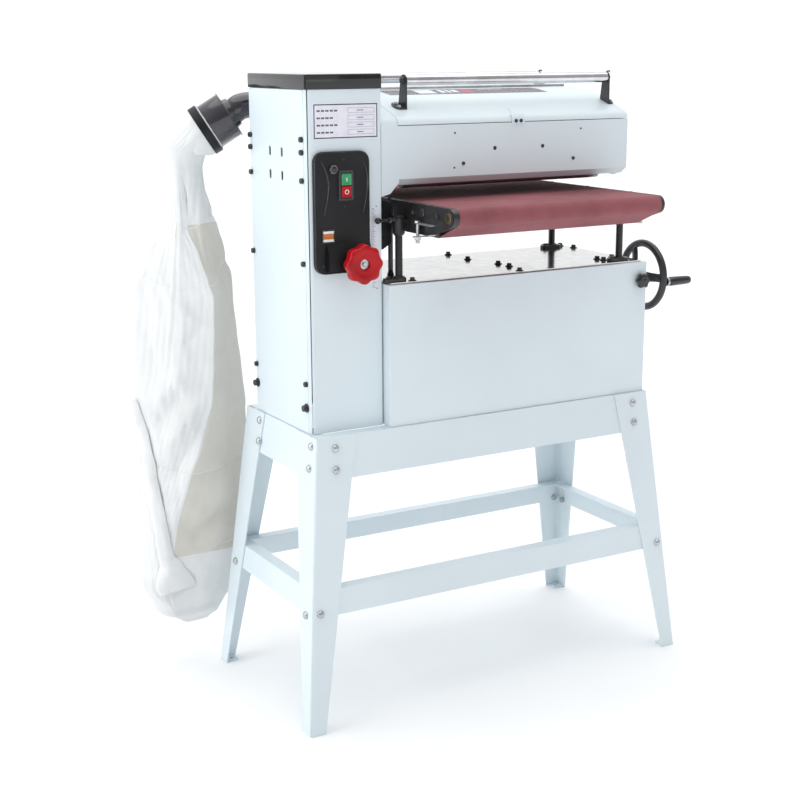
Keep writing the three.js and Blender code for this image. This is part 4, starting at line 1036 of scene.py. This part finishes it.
def take_up_screw(bm):
    """The belt's upright tension screws: one in a bent strip under the left casting, one at the right."""
    strip = [(-20, 970), (-24, 971), (-74, 977), (-80, 979), (-80, 981), (-74, 979.4), (-24, 973.4),
             (-20, 972.4)]
    prism(bm, strip, "X", 206, 222.5, 0)
    prism(bm, [(-20, 996.6), (-80, 996.6), (-82, 999), (-20, 999)], "X", 210, 222.2, 0)
    turned(bm, (214, -26, 1001), -Z, [(0, 3.6), (40, 3.6), (40, 0.01)], 20, 1)
    hex_bolt(bm, (214, -26, 972.6), -Z, 7.6, 7, tint=1)
    hex_bolt(bm, (214, -26, 999.2), Z, 6, 4, tint=1)
    hex_bolt(bm, (214, -26, 963), -Z, 5, 3.5, tint=1)
    turned(bm, (732, -60, 984), -Z, [(0, 3.4), (14, 3.4), (14, 0.01)], 20, 1)
    hex_bolt(bm, (732, -60, 974), -Z, 5.4, 4.4, tint=1)
    block(bm, CASTING_RIGHT + 0.2, 738, -70, -50, 981, 984, 0)


def feed_motor_details(bm):
    """Cooling ribs, an end cap and the gearbox screws of the feed motor."""
    centre = Vector((0, 444, 1016))
    for k in range(28):
        angle = 2 * math.pi * k / 28
        side, up = across(X)
        out = side * math.cos(angle) + up * math.sin(angle)
        flat = X.cross(out) * 0.9
        section = [out * r + flat * s for r, s in ((28.4, -1), (31, -0.7), (31, 0.7), (28.4, 1))]
        loft(bm, [[centre + X * x + p for p in section] for x in (141, 182)])
    turned(bm, centre + X * 137.6, -X, [(0, 30), (2, 30), (3.4, 27), (3.6, 12), (5, 8), (5, 0.01)], 48)
    for k in range(6):
        angle = math.radians(60 * k + 15)
        hex_bolt(bm, centre + X * 188 + Y * 27 * math.cos(angle) + Z * 27 * math.sin(angle), -X, 3.4, 3)


def pointer(bm):
    """The ball-ended arm over the scale, with its clamp nut."""
    ball = [(-a, b) for a, b in arc(0, 0, 6.4, 10, 170, 16)]
    turned(bm, (155, 25.5, 1001), X, [(-6.4, 0.01), *ball, (6.4, 0.01)], 32)
    turned(bm, (160, 25.5, 1001), X, [(0, 3.4), (2, 2.8), (35.8, 2.8), (35.8, 0.01)], 24)
    turned(bm, (178, 25.5, 1001), X, [(0, 2.6), (0, 6), (5, 6), (5, 2.6)], 6, loop=True)


# ---- Handwheel, grip and lock ----
WHEEL_WALL, WHEEL_Y, WHEEL_Z = 810.4, 65, 836
GRIP_AT = Vector((855.2, -5.2, 829))
LOCK_X = 793


def handwheel(bm):
    """A dished cast wheel: a full round rim, three tapering spokes and a stepped hub."""
    centre = Vector((WHEEL_WALL, WHEEL_Y, WHEEL_Z))
    rim_x, radius = 36.5, 70.3
    angles = [math.radians(a) for a in range(0, 360, 18)]
    rim = [(rim_x + 8 * math.cos(a), radius + 8.1 * math.sin(a)) for a in angles]
    turned(bm, centre, X, rim, 96, loop=True)
    hub = [(-76, 0.01), (-76, 10), (-24, 10), (-24, 9), (14, 9), (14, 21), (15, 22), (26, 22), (28, 20.4),
           (28, 10), (26.5, 8.5), (26.5, 0.01)]
    turned(bm, centre, X, hub, 48)
    round_angles = [2 * math.pi * i / 16 for i in range(16)]
    for k in range(3):
        angle = math.radians(90 + 120 * k)
        out = Vector((0, -math.sin(angle), math.cos(angle)))
        wide = X.cross(out)
        rings = []
        for t in [i / 10 for i in range(11)]:
            r = 12 + (radius - 4 - 12) * t
            x = 21 + (rim_x - 21) * (3 * t**2 - 2 * t**3)
            half, thick = 12.5 - 5 * t + 2 * (2 * t - 1) ** 2, 5.2 - 0.8 * t
            place = centre + out * r
            ring = [place + X * (x + thick * math.sin(a)) + wide * half * math.cos(a) for a in round_angles]
            rings.append(ring)
        loft(bm, rings)


def wheel_grip(bm):
    profile = [(5, 0.01), (5, 8.4), (6.5, 9.6), (12, 10.3), (22, 10.1), (50, 9.4), (60, 8.9), (63.5, 7.8),
               (65.4, 5.6), (66, 3), (66, 0.01)]
    turned(bm, GRIP_AT, X, profile, 40)


def grip_washer(bm):
    turned(bm, GRIP_AT, X, [(0, 0.01), (0, 8.6), (0.6, 9.2), (4.2, 9.2), (4.8, 8.6), (4.8, 0.01)], 36)


def lock_knob(bm):
    """The six-lobed lock knob: rounded lobes and a raised centre. Its stud is drawn by lock_stud."""
    lobe = lambda angle, radius: 1 + 0.1 * math.cos(6 * angle) * min(1, max(0, (radius - 8) / 6))
    profile = [(0, 0.01), (0, 12.5), (1.4, 14.6), (3.4, 15.4), (9.5, 15.4), (12, 14.3), (13.6, 12),
               (14.2, 8.6), (13.6, 6.6), (14, 4.6), (14.6, 3), (14.6, 0.01)]
    turned(bm, (LOCK_X, 5, WHEEL_Z), -Y, profile, 96, lobe=lobe)


def lock_stud(bm):
    turned(bm, (LOCK_X, 5.2, WHEEL_Z), Y, [(0, 6), (1.8, 6), (2.4, 5.2), (2.4, 0.01)], 24)


# ---- Dust outlet ----
PORT_AT = Vector((-2, 368, 1196.7))
PORT_AXIS = Vector((-0.7905, 0.3047, -0.5312)).normalized()
PORT_SIDE = Z.cross(PORT_AXIS).normalized()
PORT_UP = PORT_AXIS.cross(PORT_SIDE)


def along_port(distance):
    return PORT_AT + PORT_AXIS * distance


def dust_pipe(bm):
    """The swept pipe from the head's back wall to the bag adaptor, with a coupling collar."""
    z = PORT_AT.z + 16
    route = [(234, 318.8, z), (234, 332, z), (222, 350, z), (200, 357, z), (120, 357, z + 1)]
    route += [(50, 357, z + 2), *(along_port(distance) for distance in (-28, -12, 5.5))]
    tube(bm, smooth_path(route, 7), 26.9, 40)
    turned(bm, (234, 318.4, z), Y, [(0, 27), (0, 36), (3.4, 36), (4.4, 34.6), (4.4, 27)], 40, loop=True)
    turned(bm, (78, 357, z + 1.6), X, [(0, 26), (0, 30), (26, 30), (26, 26)], 40, loop=True)


def adaptor(bm):
    """The round adaptor between pipe and bag: a flange, a straight sleeve and a collar round the pipe."""
    profile = [(-0.1, 28), (-0.1, 49), (0.8, 50.4), (2.4, 50.4), (3.2, 49), (3.4, 48), (68.5, 48), (70, 47.2),
               (70, 45.4), (4, 45), (3.4, 30), (3.4, 28)]
    turned(bm, PORT_AT, PORT_AXIS, profile, 64, loop=True)
    turned(bm, PORT_AT, PORT_AXIS, [(-11, 27), (-11, 30.4), (-0.2, 33), (-0.2, 27)], 48, loop=True)


def clamp_band(bm):
    """The bag's strap clamp with its toggle buckle."""
    band = [(50.5, 50.5), (50.5, 52.6), (51.2, 53.1), (67, 53.1), (67.8, 52.6), (67.8, 50.5)]
    turned(bm, PORT_AT, PORT_AXIS, band, 72, loop=True)
    up = (PORT_UP * 0.72 - PORT_SIDE * 0.69).normalized()
    wide = PORT_AXIS.cross(up)
    centre = along_port(59)

    def slab(a0, a1, w, r0, r1, at=0.0):
        corners = [(a0, -w), (a1, -w), (a1, w), (a0, w)]
        loft(bm, [[centre + PORT_AXIS * a + wide * (b + at) + up * r for a, b in corners] for r in (r0, r1)])

    slab(-10, 10, 13, 48.5, 51.8)
    slab(-8, 8, 8, 51.5, 53.0, 3)


def inner_rim(bm):
    """The bag's hem where it shows past the clamp, on the adaptor's side."""
    hem = [(48.0, 48.3), (47.6, 49.4), (48.3, 50.3), (50.6, 50.2), (50.6, 48.3)]
    turned(bm, PORT_AT, PORT_AXIS, hem, 72, loop=True)


# ---- Dust bag ----
VIEW_SIDE = Vector((0.868, -0.497, 0))  # the wide direction of the bag's panels
VIEW_DEPTH = Vector((0.497, 0.868, 0))
BAG_SECTIONS = [  # height, middle x, middle y, half width, half depth
    (1128, -86, 402, 44, 42), (1092, -92, 406, 36, 34), (1050, -83, 408, 38, 34), (1000, -78, 411, 52, 38),
    (927, -83, 417, 84, 48), (842, -91, 424, 112, 60), (723, -90, 433, 123, 70), (587, -80, 443, 132, 72),
    (313, -89, 453, 132, 72), (183, -104, 456, 119, 64), (112, -100, 458, 84, 46), (80, -90, 458, 34, 24),
]
BAG_SIDES = 132
BAG_STEP = 7.5  # height of a row of the bag's mesh
FRONT_SHARE, SIDE_SHARE, BACK_SHARE = 0.36, 0.16, 0.48  # each panel's part of the way round
SIDE_END = FRONT_SHARE + SIDE_SHARE
CREASE = [  # (height, share) of the front panel's right edge
    (1000, 0.0), (972, 0.03), (919, 0.38), (860, 0.62), (828, 0.70), (757, 0.68), (693, 0.62), (619, 0.52),
    (504, 0.26), (444, 0.08), (326, -0.18), (270, -0.22), (76, -0.20),
]
# Seams round the bag, as (share of the half width, height) points.
SEAMS = [
    [(-0.95, 985), (-0.5, 982), (0.11, 970), (0.93, 994)],
    [(-0.97, 868), (-0.45, 854), (0.08, 846), (0.69, 852), (0.98, 895)],
    [(-0.5, 462), (-0.32, 455), (0.26, 450), (0.51, 450), (0.96, 472)],
    [(-0.9, 225), (0.21, 252), (0.78, 274), (1.0, 280)],
]
# Pressed folds across the front: (start, end, height of the ridge, width), with places as (share, height).
FOLDS = [
    ((0.03, 675), (-0.62, 584), 13, 26),
    ((0.00, 635), (-0.62, 545), -13, 22),
    ((0.43, 630), (-0.48, 482), 12, 24),
    ((0.52, 590), (-0.30, 430), -11, 20),
    ((0.48, 560), (0.00, 400), 13, 26),
    ((-0.39, 846), (0.44, 766), 6, 11),
    ((0.44, 766), (0.01, 724), -7, 12),
    ((-0.75, 790), (-0.55, 620), -7, 26),
    ((0.90, 590), (0.45, 470), -10, 24),
    ((0.90, 430), (0.10, 330), 11, 24),
    ((0.80, 370), (0.00, 290), -10, 20),
    ((0.75, 330), (0.30, 262), 7, 16),
    ((-0.70, 940), (-0.45, 700), 5, 30),
    ((-0.20, 940), (0.10, 760), 5, 26),
    ((-0.95, 230), (-0.30, 130), 9, 22),
    ((-0.60, 150), (0.30, 220), -9, 20),
    ((0.30, 215), (0.55, 130), 8, 16),
    ((-0.40, 1100), (-0.15, 960), 8, 18),
    ((-0.05, 1090), (0.00, 980), -10, 15),
    ((0.85, 1095), (0.60, 996), -8, 15),
]


def eased(table, z):
    """A row of a table that falls in its first column, with smooth values between its rows."""
    z = min(max(z, table[-1][0]), table[0][0])
    for upper, lower in zip(table, table[1:]):
        if z >= lower[0]:
            t = (upper[0] - z) / (upper[0] - lower[0])
            t = t * t * (3 - 2 * t) * 0.35 + t * 0.65
            return [a + (b - a) * t for a, b in zip(upper, lower)]
    return list(table[-1])


def crease_at(z):
    return eased(CREASE, z)[1]


def bag_outline(k, z):
    """A panelled section: shares of width and depth for point k, from the left fold round the front."""
    t, crease = k / BAG_SIDES, crease_at(z)
    if t < FRONT_SHARE:  # the front panel, bowed
        w = t / FRONT_SHARE
        return -1 + (1 + crease) * w, -0.95 * math.sin(math.pi * (0.06 + 0.50 * w)) ** 0.8
    if t < SIDE_END:  # the side panel, a flat gusset that turns away
        w = (t - FRONT_SHARE) / SIDE_SHARE
        return crease + (1 - crease) * w, -0.92 + 1.0 * w - 0.10 * math.sin(math.pi * w)
    w = (t - SIDE_END) / BACK_SHARE  # the back panel
    belly = math.sin(math.pi * w)
    return math.cos(math.pi * w) * (1 - 0.02 * belly), 0.08 * (1 - w) + 0.62 * belly**0.8 - 0.16 * w


def point_at(share, z):
    """The point of the section, front panel or side panel, that lies at a share of the half width."""
    crease = crease_at(z)
    if share <= crease:
        return max(0.0, (share + 1) / (1 + crease) * FRONT_SHARE * BAG_SIDES)
    return (FRONT_SHARE + SIDE_SHARE * (share - crease) / (1 - crease)) * BAG_SIDES


def bag_relief(share, z, k):
    """How far the cloth stands out: seams pull in, folds stand up, and it bellies between seams."""
    out = 0.0
    for seam in SEAMS:
        d = z - seam_height(seam, share)
        out -= 3.2 * math.exp(-((d / 9) ** 2))
        out += 2.2 * math.exp(-(((d + 24) / 16) ** 2))
    if k < SIDE_END * BAG_SIDES:
        for (s0, z0), (s1, z1), height, width in FOLDS:
            dx, dz = (s1 - s0) * 120, z1 - z0
            along = ((share - s0) * 120 * dx + (z - z0) * dz) / (dx * dx + dz * dz)
            off = abs((share - s0) * 120 * dz - (z - z0) * dx) / math.hypot(dx, dz)
            fade = 1 - min(1, max(0, abs(2 * along - 1) - 0.45) / 0.75)
            fade = fade * fade * (3 - 2 * fade)
            out += height * fade * math.exp(-((off / width) ** 1.5))
    puckers = math.sin(k * 1.13 + z * 0.021) * math.sin(k * 0.41 - z * 0.055 + 1.7)
    return out + 1.1 * (puckers + 0.6 * math.sin(k * 0.23 + z * 0.034))


def seam_height(seam, share):
    share = min(max(share, seam[0][0]), seam[-1][0])
    for (s0, z0), (s1, z1) in zip(seam, seam[1:]):
        if share <= s1:
            t = (share - s0) / (s1 - s0)
            return z0 + (z1 - z0) * t * t * (3 - 2 * t)
    return seam[-1][1]


def bag_point(k, z, lift=0.0):
    """A point of the bag's cloth: point k of its section at height z."""
    _, cx, cy, wide, deep = eased(BAG_SECTIONS, z)
    half_width = math.hypot(wide * VIEW_SIDE.x, deep * VIEW_SIDE.y)
    half_depth = math.hypot(wide * VIEW_DEPTH.x, deep * VIEW_DEPTH.y)
    share, depth = bag_outline(k, z)
    panelled = min(1.0, max(0.0, (1060 - z) / 130))  # round at the neck, panelled lower down
    angle = math.atan2(depth, share)
    share_round, depth_round = math.cos(angle), math.sin(angle)
    u = half_width * (share_round + (share - share_round) * panelled)
    d = half_depth * (depth_round + (depth - depth_round) * panelled)
    relief = (bag_relief(share, z, k) * min(1, (z - 60) / 80) + lift) * min(1.0, max(0.25, (1150 - z) / 120))
    out = Vector((math.cos(angle) * half_depth, math.sin(angle) * half_width)).normalized()
    u, d = u + out.x * relief, d + out.y * relief
    return Vector((cx, cy, z)) + VIEW_SIDE * u + VIEW_DEPTH * d


def bag_shell(bm):
    """The bag as one skin, from its mouth on the adaptor down to its flat sewn end."""
    top, bottom = BAG_SECTIONS[0][0], BAG_SECTIONS[-1][0]
    rings = []
    for distance, radius in ((52, 49.6), (62, 49.9), (70, 49.4), (78, 47.5)):
        ring = []
        for k in range(BAG_SIDES):
            share, depth = bag_outline(k, top)
            out = (VIEW_SIDE * share + VIEW_DEPTH * depth).normalized()
            flat = (out - PORT_AXIS * out.dot(PORT_AXIS)).normalized()
            gather = 1 + 0.018 * math.sin(k * 2 * math.pi * 13 / BAG_SIDES) * (distance > 66)
            ring.append(along_port(distance) + flat * radius * gather)
        rings.append(ring)
    height = top
    while height > bottom:
        rings.append([bag_point(k, height) for k in range(BAG_SIDES)])
        height -= BAG_STEP
    rings.append([bag_point(k, bottom) for k in range(BAG_SIDES)])

    # Side panel faces take the darker beige cloth, which is painted shade.
    def painted_shade_side_panel(k, z):
        return int(FRONT_SHARE * BAG_SIDES <= k < SIDE_END * BAG_SIDES and 262 < z < 985)

    bm.faces.new(skin(bm, rings, tint=painted_shade_side_panel)[-1])


def bag_seams(bm):
    """The sewn rows: a low corded seam along each, and the pressed edge of the front panel."""
    front = [k for k in range(BAG_SIDES) if k <= SIDE_END * BAG_SIDES]
    for seam in SEAMS:
        path = [bag_point(k, seam_height(seam, bag_outline(k, seam[0][1])[0]), 0.6) for k in front]
        tube(bm, path, 1.0, 8)
    edge = int(FRONT_SHARE * BAG_SIDES)
    tube(bm, [bag_point(edge, z, 0.4) for z in range(960, 460, -10)], 1.5, 8)

def bag_cuff(bm):
    """The bunched sleeve of cloth below the clamp, with its pointed hem."""
    sides, rings = 96, []
    for t in [step / 8 for step in range(9)]:
        ring = []
        for k in range(sides):
            angle = 2 * math.pi * k / sides
            front = max(0.0, math.cos(angle + 0.35)) ** 4
            ripple = (0.4 + 2.0 * t) * math.sin(angle * 9 + 2 * t) + 1.4 * t * math.sin(angle * 4)
            radius = 50.6 - 9 * t * t - 3 * t * front + ripple
            out = PORT_SIDE * math.cos(angle) + PORT_UP * math.sin(angle)
            ring.append(along_port(66 + t * (17 + 36 * front)) + out * radius)
        rings.append(ring)
    skin(bm, rings)


def bag_tail(bm):
    """The bag's long rolled hem, which hangs down its front and ends in a folded pouch."""
    rows = []
    path = [(-0.95, 600, 4), (-0.88, 560, 9), (-0.77, 518, 13), (-0.66, 451, 15), (-0.54, 383, 16),
            (-0.40, 300, 17), (-0.33, 262, 18), (-0.28, 250, 22), (-0.22, 225, 32), (-0.16, 200, 42),
            (-0.12, 188, 45), (-0.10, 180, 43)]  # (share, height, half width)
    for share, z, half in smooth_path(path, 6):
        row = []
        for t in [step / 5 - 1 for step in range(11)]:
            fold = 3.0 + (7.0 + half * 0.14) * (1 - t * t) ** 0.7 + 1.0 * math.sin(z * 0.06 + t * 3)
            row.append(bag_point(point_at(share + t * half / 125, z), z + t * half * 0.22, fold))
        rows.append(row)
    skin(bm, rows, around=False)


def rumple(cloth, keep_mm):
    """A short cloth simulation that buckles the hung bag's panels; no point moves further than keep_mm."""
    mesh = cloth.data
    start = [v.co.copy() for v in mesh.vertices]
    group = cloth.vertex_groups.new(name="held")
    top, low = max(p.z for p in start), min(p.z for p in start)
    for i, p in enumerate(start):
        weight = max(0.0, (p.z - top + 0.13) / 0.06, (low + 0.03 - p.z) / 0.02)
        group.add([i], min(1.0, weight), "REPLACE")
    modifier = cloth.modifiers.new("cloth", "CLOTH")
    settings = modifier.settings
    settings.quality, settings.mass = 5, 0.25
    settings.tension_stiffness = settings.compression_stiffness = 12
    settings.shear_stiffness, settings.bending_stiffness = 4, 0.3
    settings.use_pressure, settings.uniform_pressure_force = True, 1.2
    settings.shrink_min = -0.015
    settings.vertex_group_mass = "held"
    settings.effector_weights.gravity = 0.12
    modifier.collision_settings.use_collision = False
    for number in range(1, 19):
        SCENE.frame_set(number)
    settled = cloth.evaluated_get(bpy.context.evaluated_depsgraph_get()).data
    moved = [settled.vertices[i].co - p for i, p in enumerate(start)]
    cloth.modifiers.remove(modifier)
    moved = [move * min(1.0, keep_mm / 1000 / max(move.length, 1e-9)) for move in moved]
    for vertex, p, move in zip(mesh.vertices, start, moved):
        vertex.co = p + move
    cloth.vertex_groups.clear()
    SCENE.frame_set(1)
    return start, moved


def follow(sewn, start, moved):
    """Carries a sewn piece along with the nearest points of the settled bag."""
    tree = KDTree(len(start))
    for i, p in enumerate(start):
        tree.insert(p, i)
    tree.balance()
    for vertex in sewn.data.vertices:
        near = tree.find_n(vertex.co, 4)
        weights = [1 / max(distance, 1e-5) for _, _, distance in near]
        shift = sum((moved[i] * w for (_, i, _), w in zip(near, weights)), Vector((0, 0, 0)))
        vertex.co += shift / sum(weights)


def thicken(cloth, thickness_mm, smooth=0):
    solidify = cloth.modifiers.new("thickness", "SOLIDIFY")
    solidify.thickness = thickness_mm / 1000
    solidify.offset = 0
    if smooth:
        cloth.modifiers.new("smooth", "SUBSURF").levels = smooth
        cloth.modifiers["smooth"].render_levels = smooth


# ---- Everything in its place ----
def build_stand_and_cabinets():
    piece("stand_bolts", "machine", "steel", BOLT, stand_bolts, angle=40)
    piece("cover_screws", "machine", "black_paint", SCREW_BLACK, cover_screws)
    piece("rating_plate", "machine", "white_paint", [LABEL, INK, INK_GREY, LABEL_LINE], rating_plate)
    piece("depth_scale", "machine", "steel", [LABEL, INK, BOLT], depth_scale)
    piece("drive_cabinet_cap", "machine", "black_plastic", CAP_PLASTIC, top_cap, replaces=["top_cap"])
    piece("conduit_glands", "machine", "black_plastic", BLACK_PLASTIC, conduit_glands, bevel=0.3)
    piece("conduit_sleeve", "machine", "black_plastic", SLEEVE, conduit_sleeve)
    piece("panel_trim", "machine", "black_plastic", BLACK_GLOSS, panel_trim)
    piece("panel_screws", "machine", "steel", SCREW_BLACK, panel_screws)
    piece("switch_frame", "machine", "black_plastic", BLACK_GLOSS, switch_frame, bevel=0.5,
          replaces=["switch_housing"])
    piece("start_cap", "start", "green_plastic", GREEN, button_cap, START_Z, replaces=["start_button"])
    piece("stop_cap", "stop", "red_plastic", RED, button_cap, STOP_Z, replaces=["stop_button"])
    piece("start_mark", "start", "white_paint", MARK_WHITE, start_mark, bevel=0.15)
    piece("stop_mark", "stop", "white_paint", MARK_WHITE, stop_mark, bevel=0.15)
    piece("reset_nut", "machine", "steel", DARK_STEEL, reset_nut, bevel=0.2)
    piece("reset_cap", "reset", "black_plastic", BLACK_GLOSS, reset_cap, replaces=["reset_button"])
    piece("rocker_frame", "machine", "black_plastic", BLACK_GLOSS, rocker_frame, bevel=0.4)
    piece("rocker_face", "rocker", "orange_plastic", [ORANGE, MARK_WHITE], rocker_face,
          replaces=["rocker_switch"])
    piece("speed_knob", "speed_knob", "red_plastic", RED, speed_knob, angle=50, replaces=["feed_speed_knob"])
    piece("speed_knob_bolt", "speed_knob", "steel", BOLT, knob_bolt)
    piece("top_plate_bolts", "machine", "black_paint", BLACK_PAINT, plate_bolts, bevel=0.3)
    piece("screw_flanges", "machine", "cast_iron", BLACK_PAINT, screw_flanges, bevel=0.5)
    piece("cabinet_screws", "machine", "steel", BOLT, cabinet_screws)


def build_head():
    piece("head_fittings", "machine", "black_paint", SCREW_BLACK, head_dots)
    piece("bearing_cover", "machine", "cast_iron", BLACK_PAINT, bearing_bolts, bevel=0.3)
    piece("hood_decal", "hood", "black_plastic", [DECAL, LABEL, DECAL_RED], hood_decal)
    piece("hood_latch", "hood", "white_paint", [WHITE, INK], hood_latch, bevel=0.4)
    piece("hood_crease", "hood", "white_paint", WHITE, hood_crease)
    piece("hood_hinge_knuckles", "machine", "steel", STEEL_X, hood_hinge)
    for end, body in (("front", "hood"), ("back", "machine")):
        piece(f"return_roller_{end}_tube", f"{end}_return_roller", "chrome", CHROME, return_roller, end,
              replaces=[f"return_roller_{end}"])
        for right, name in ((False, "left"), (True, "right")):
            piece(f"bracket_{end}_{name}", body, "black_paint", BLACK_PAINT, bracket, end, right, bevel=0.5,
                  replaces=[f"roller_bracket_{end}_{name}"])
        piece(f"bracket_bolts_{end}", body, "steel", BOLT, bracket_bolts, end)


def build_table():
    piece("feed_belt", "table", "abrasive_cloth", MAROON, feed_belt, replaces=["conveyor_belt"])
    piece("feed_belt_splice", "table", "abrasive_cloth", SPLICE, belt_splice)
    piece("table_bolts", "table", "steel", DARK_STEEL, table_bolts)
    for name, x, out in (("left", CASTING_LEFT, -X), ("right", CASTING_RIGHT, X)):
        piece(f"take_up_{name}", "table", "steel", [SCREW_BLACK, BRONZE, DARK_STEEL], take_up, x, out)
    piece("take_up_screws", "table", "steel", [BRACKET_STEEL, BOLT], take_up_screw)
    piece("feed_motor_details", "table", "aluminium", ALUMINIUM, feed_motor_details)
    piece("depth_pointer_arm", "table", "black_plastic", BLACK_GLOSS, pointer, replaces=["depth_pointer"])
    piece("boss_nuts", "table", "steel", SCREW_BLACK, boss_nuts, bevel=0.3)
    for name, (x, y) in POSTS.items():
        piece(f"lift_screw_{name}", f"screw_{name}", "steel", SCREW_BLACK, screw_thread, x, y,
              name == "front_right", replaces=[f"lead_screw_{name}"])


def build_handwheel():
    piece("hand_wheel", "wheel", "cast_iron", BLACK_PAINT, handwheel, angle=50, replaces=["handwheel"])
    piece("wheel_grip", "grip", "black_plastic", BLACK_GLOSS, wheel_grip, replaces=["handwheel_grip"])
    piece("grip_washer", "grip", "steel", BOLT, grip_washer)
    piece("lock_knob_head", "lock", "black_plastic", BLACK_GLOSS, lock_knob, angle=50, replaces=["lock_knob"])
    piece("lock_knob_stud", "lock", "steel", BOLT, lock_stud)


def build_dust_outlet():
    piece("dust_pipe", "machine", "black_plastic", PORT_PLASTIC, dust_pipe, replaces=["dust_elbow"])
    piece("dust_adaptor", "machine", "black_plastic", PORT_PLASTIC, adaptor, replaces=["bag_adaptor"])
    piece("clamp_band", "machine", "black_plastic", BLACK_PLASTIC, clamp_band, bevel=0.4,
          replaces=["bag_clamp"])
    piece("bag_inner_rim", "machine", "bag_cloth", CLOTH, inner_rim)
    bag = piece("dust_bag_cloth", "machine", "bag_cloth", [CLOTH, CLOTH_PAINTED_SHADE], bag_shell, angle=60,
                replaces=["dust_bag"])
    settled = rumple(bag, 5)
    thicken(bag, 1.0)
    cuff = piece("dust_bag_cuff", "machine", "bag_cloth", CLOTH, bag_cuff, angle=60)
    thicken(cuff, 1.0, 1)
    tail = piece("dust_bag_tie", "machine", "bag_cloth", CLOTH, bag_tail, angle=60)
    thicken(tail, 1.2, 1)
    seams = piece("dust_bag_seams", "machine", "bag_cloth", CLOTH, bag_seams)
    if settled:
        follow(seams, *settled)
        follow(tail, *settled)


WORLD_FRONT, WORLD_BACK = 0.34, 1.06
LIGHTS = [  # name, place from the machine's middle in metres, watts, side in metres, colour
    ("left_key", (-3.0, 0.2, 1.0), 22, 2.0, (0.95, 0.98, 1.0)),
    ("front_fill", (0.4, -3.4, 0.9), 5, 1.8, (1, 1, 0.98)),
]
VIEW_ANGLES = (-29.764, 13.588, -0.257)  # azimuth, elevation and roll in degrees
def studio():
    """A pale floor, a white surround that is dimmer in front, and soft lights from above, left and front."""
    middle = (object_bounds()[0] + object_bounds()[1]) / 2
    bm = bmesh.new()
    bmesh.ops.create_grid(bm, x_segments=1, y_segments=1, size=60)
    mesh = bpy.data.meshes.new("floor")
    bm.to_mesh(mesh)
    bm.free()
    floor = bpy.data.objects.new("floor", mesh)
    floor.location = (middle.x, middle.y, CAD_BOX[0].z - 0.0004)
    mesh.materials.append(FLOOR)
    SCENE.collection.objects.link(floor)
    floor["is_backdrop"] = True

    world = bpy.data.worlds.new("studio")
    world.use_nodes = True
    tree = world.node_tree
    direction = tree.nodes.new("ShaderNodeTexCoord").outputs["Generated"]
    parts = tree.nodes.new("ShaderNodeSeparateXYZ")
    tree.links.new(direction, parts.inputs[0])
    ramp = tree.nodes.new("ShaderNodeMapRange")
    span = {"From Min": -0.9, "From Max": 0.5, "To Min": WORLD_FRONT, "To Max": WORLD_BACK}
    for socket, value in span.items():
        ramp.inputs[socket].default_value = value
    tree.links.new(parts.outputs["Y"], ramp.inputs["Value"])
    background = tree.nodes["Background"]
    tree.links.new(ramp.outputs["Result"], background.inputs["Strength"])
    background.inputs["Color"].default_value = (0.97, 0.985, 1, 1)
    SCENE.world = world
    SCENE.view_settings.view_transform = "Standard"

    sky = bpy.data.lights.new("overhead", "SUN")
    sky.energy, sky.angle = 1.5, math.radians(80)
    SCENE.collection.objects.link(bpy.data.objects.new("overhead", sky))
    for name, place, power, size, tone in LIGHTS:
        data = bpy.data.lights.new(name, "AREA")
        data.energy, data.size, data.color = power, size, tone
        light = bpy.data.objects.new(name, data)
        light.location = middle + Vector(place)
        light.rotation_euler = (-Vector(place)).to_track_quat("-Z", "Y").to_euler()
        SCENE.collection.objects.link(light)


def camera():
    data = bpy.data.cameras.new("camera")
    data.lens = 65.09
    data.clip_end = 60
    made = bpy.data.objects.new("camera", data)
    SCENE.collection.objects.link(made)
    azimuth, elevation, roll = map(math.radians, VIEW_ANGLES)
    level = math.cos(elevation)
    back = Vector((math.sin(azimuth) * level, -math.cos(azimuth) * level, math.sin(elevation)))
    made.location = ORIGIN + Vector((-1.20185, -2.43014, 1.32204))
    aim = (-back).to_track_quat("-Z", "Y").to_matrix().to_4x4()
    made.rotation_euler = (aim @ Matrix.Rotation(roll, 4, "Z")).to_euler()
    SCENE.camera = made


camera()
paint_frame({"default": 0.7, "dust_bag": 0, "drive_belt": 0, "lift_chain": 0, "control_panel": 1.6,
             "lift_top_plate": 0.4, "side_cover": 0.5, "table_frame": 1.2, "wiring_conduit": 0.8})
build_stand_and_cabinets()
build_head()
build_table()
build_handwheel()
build_dust_outlet()
studio()
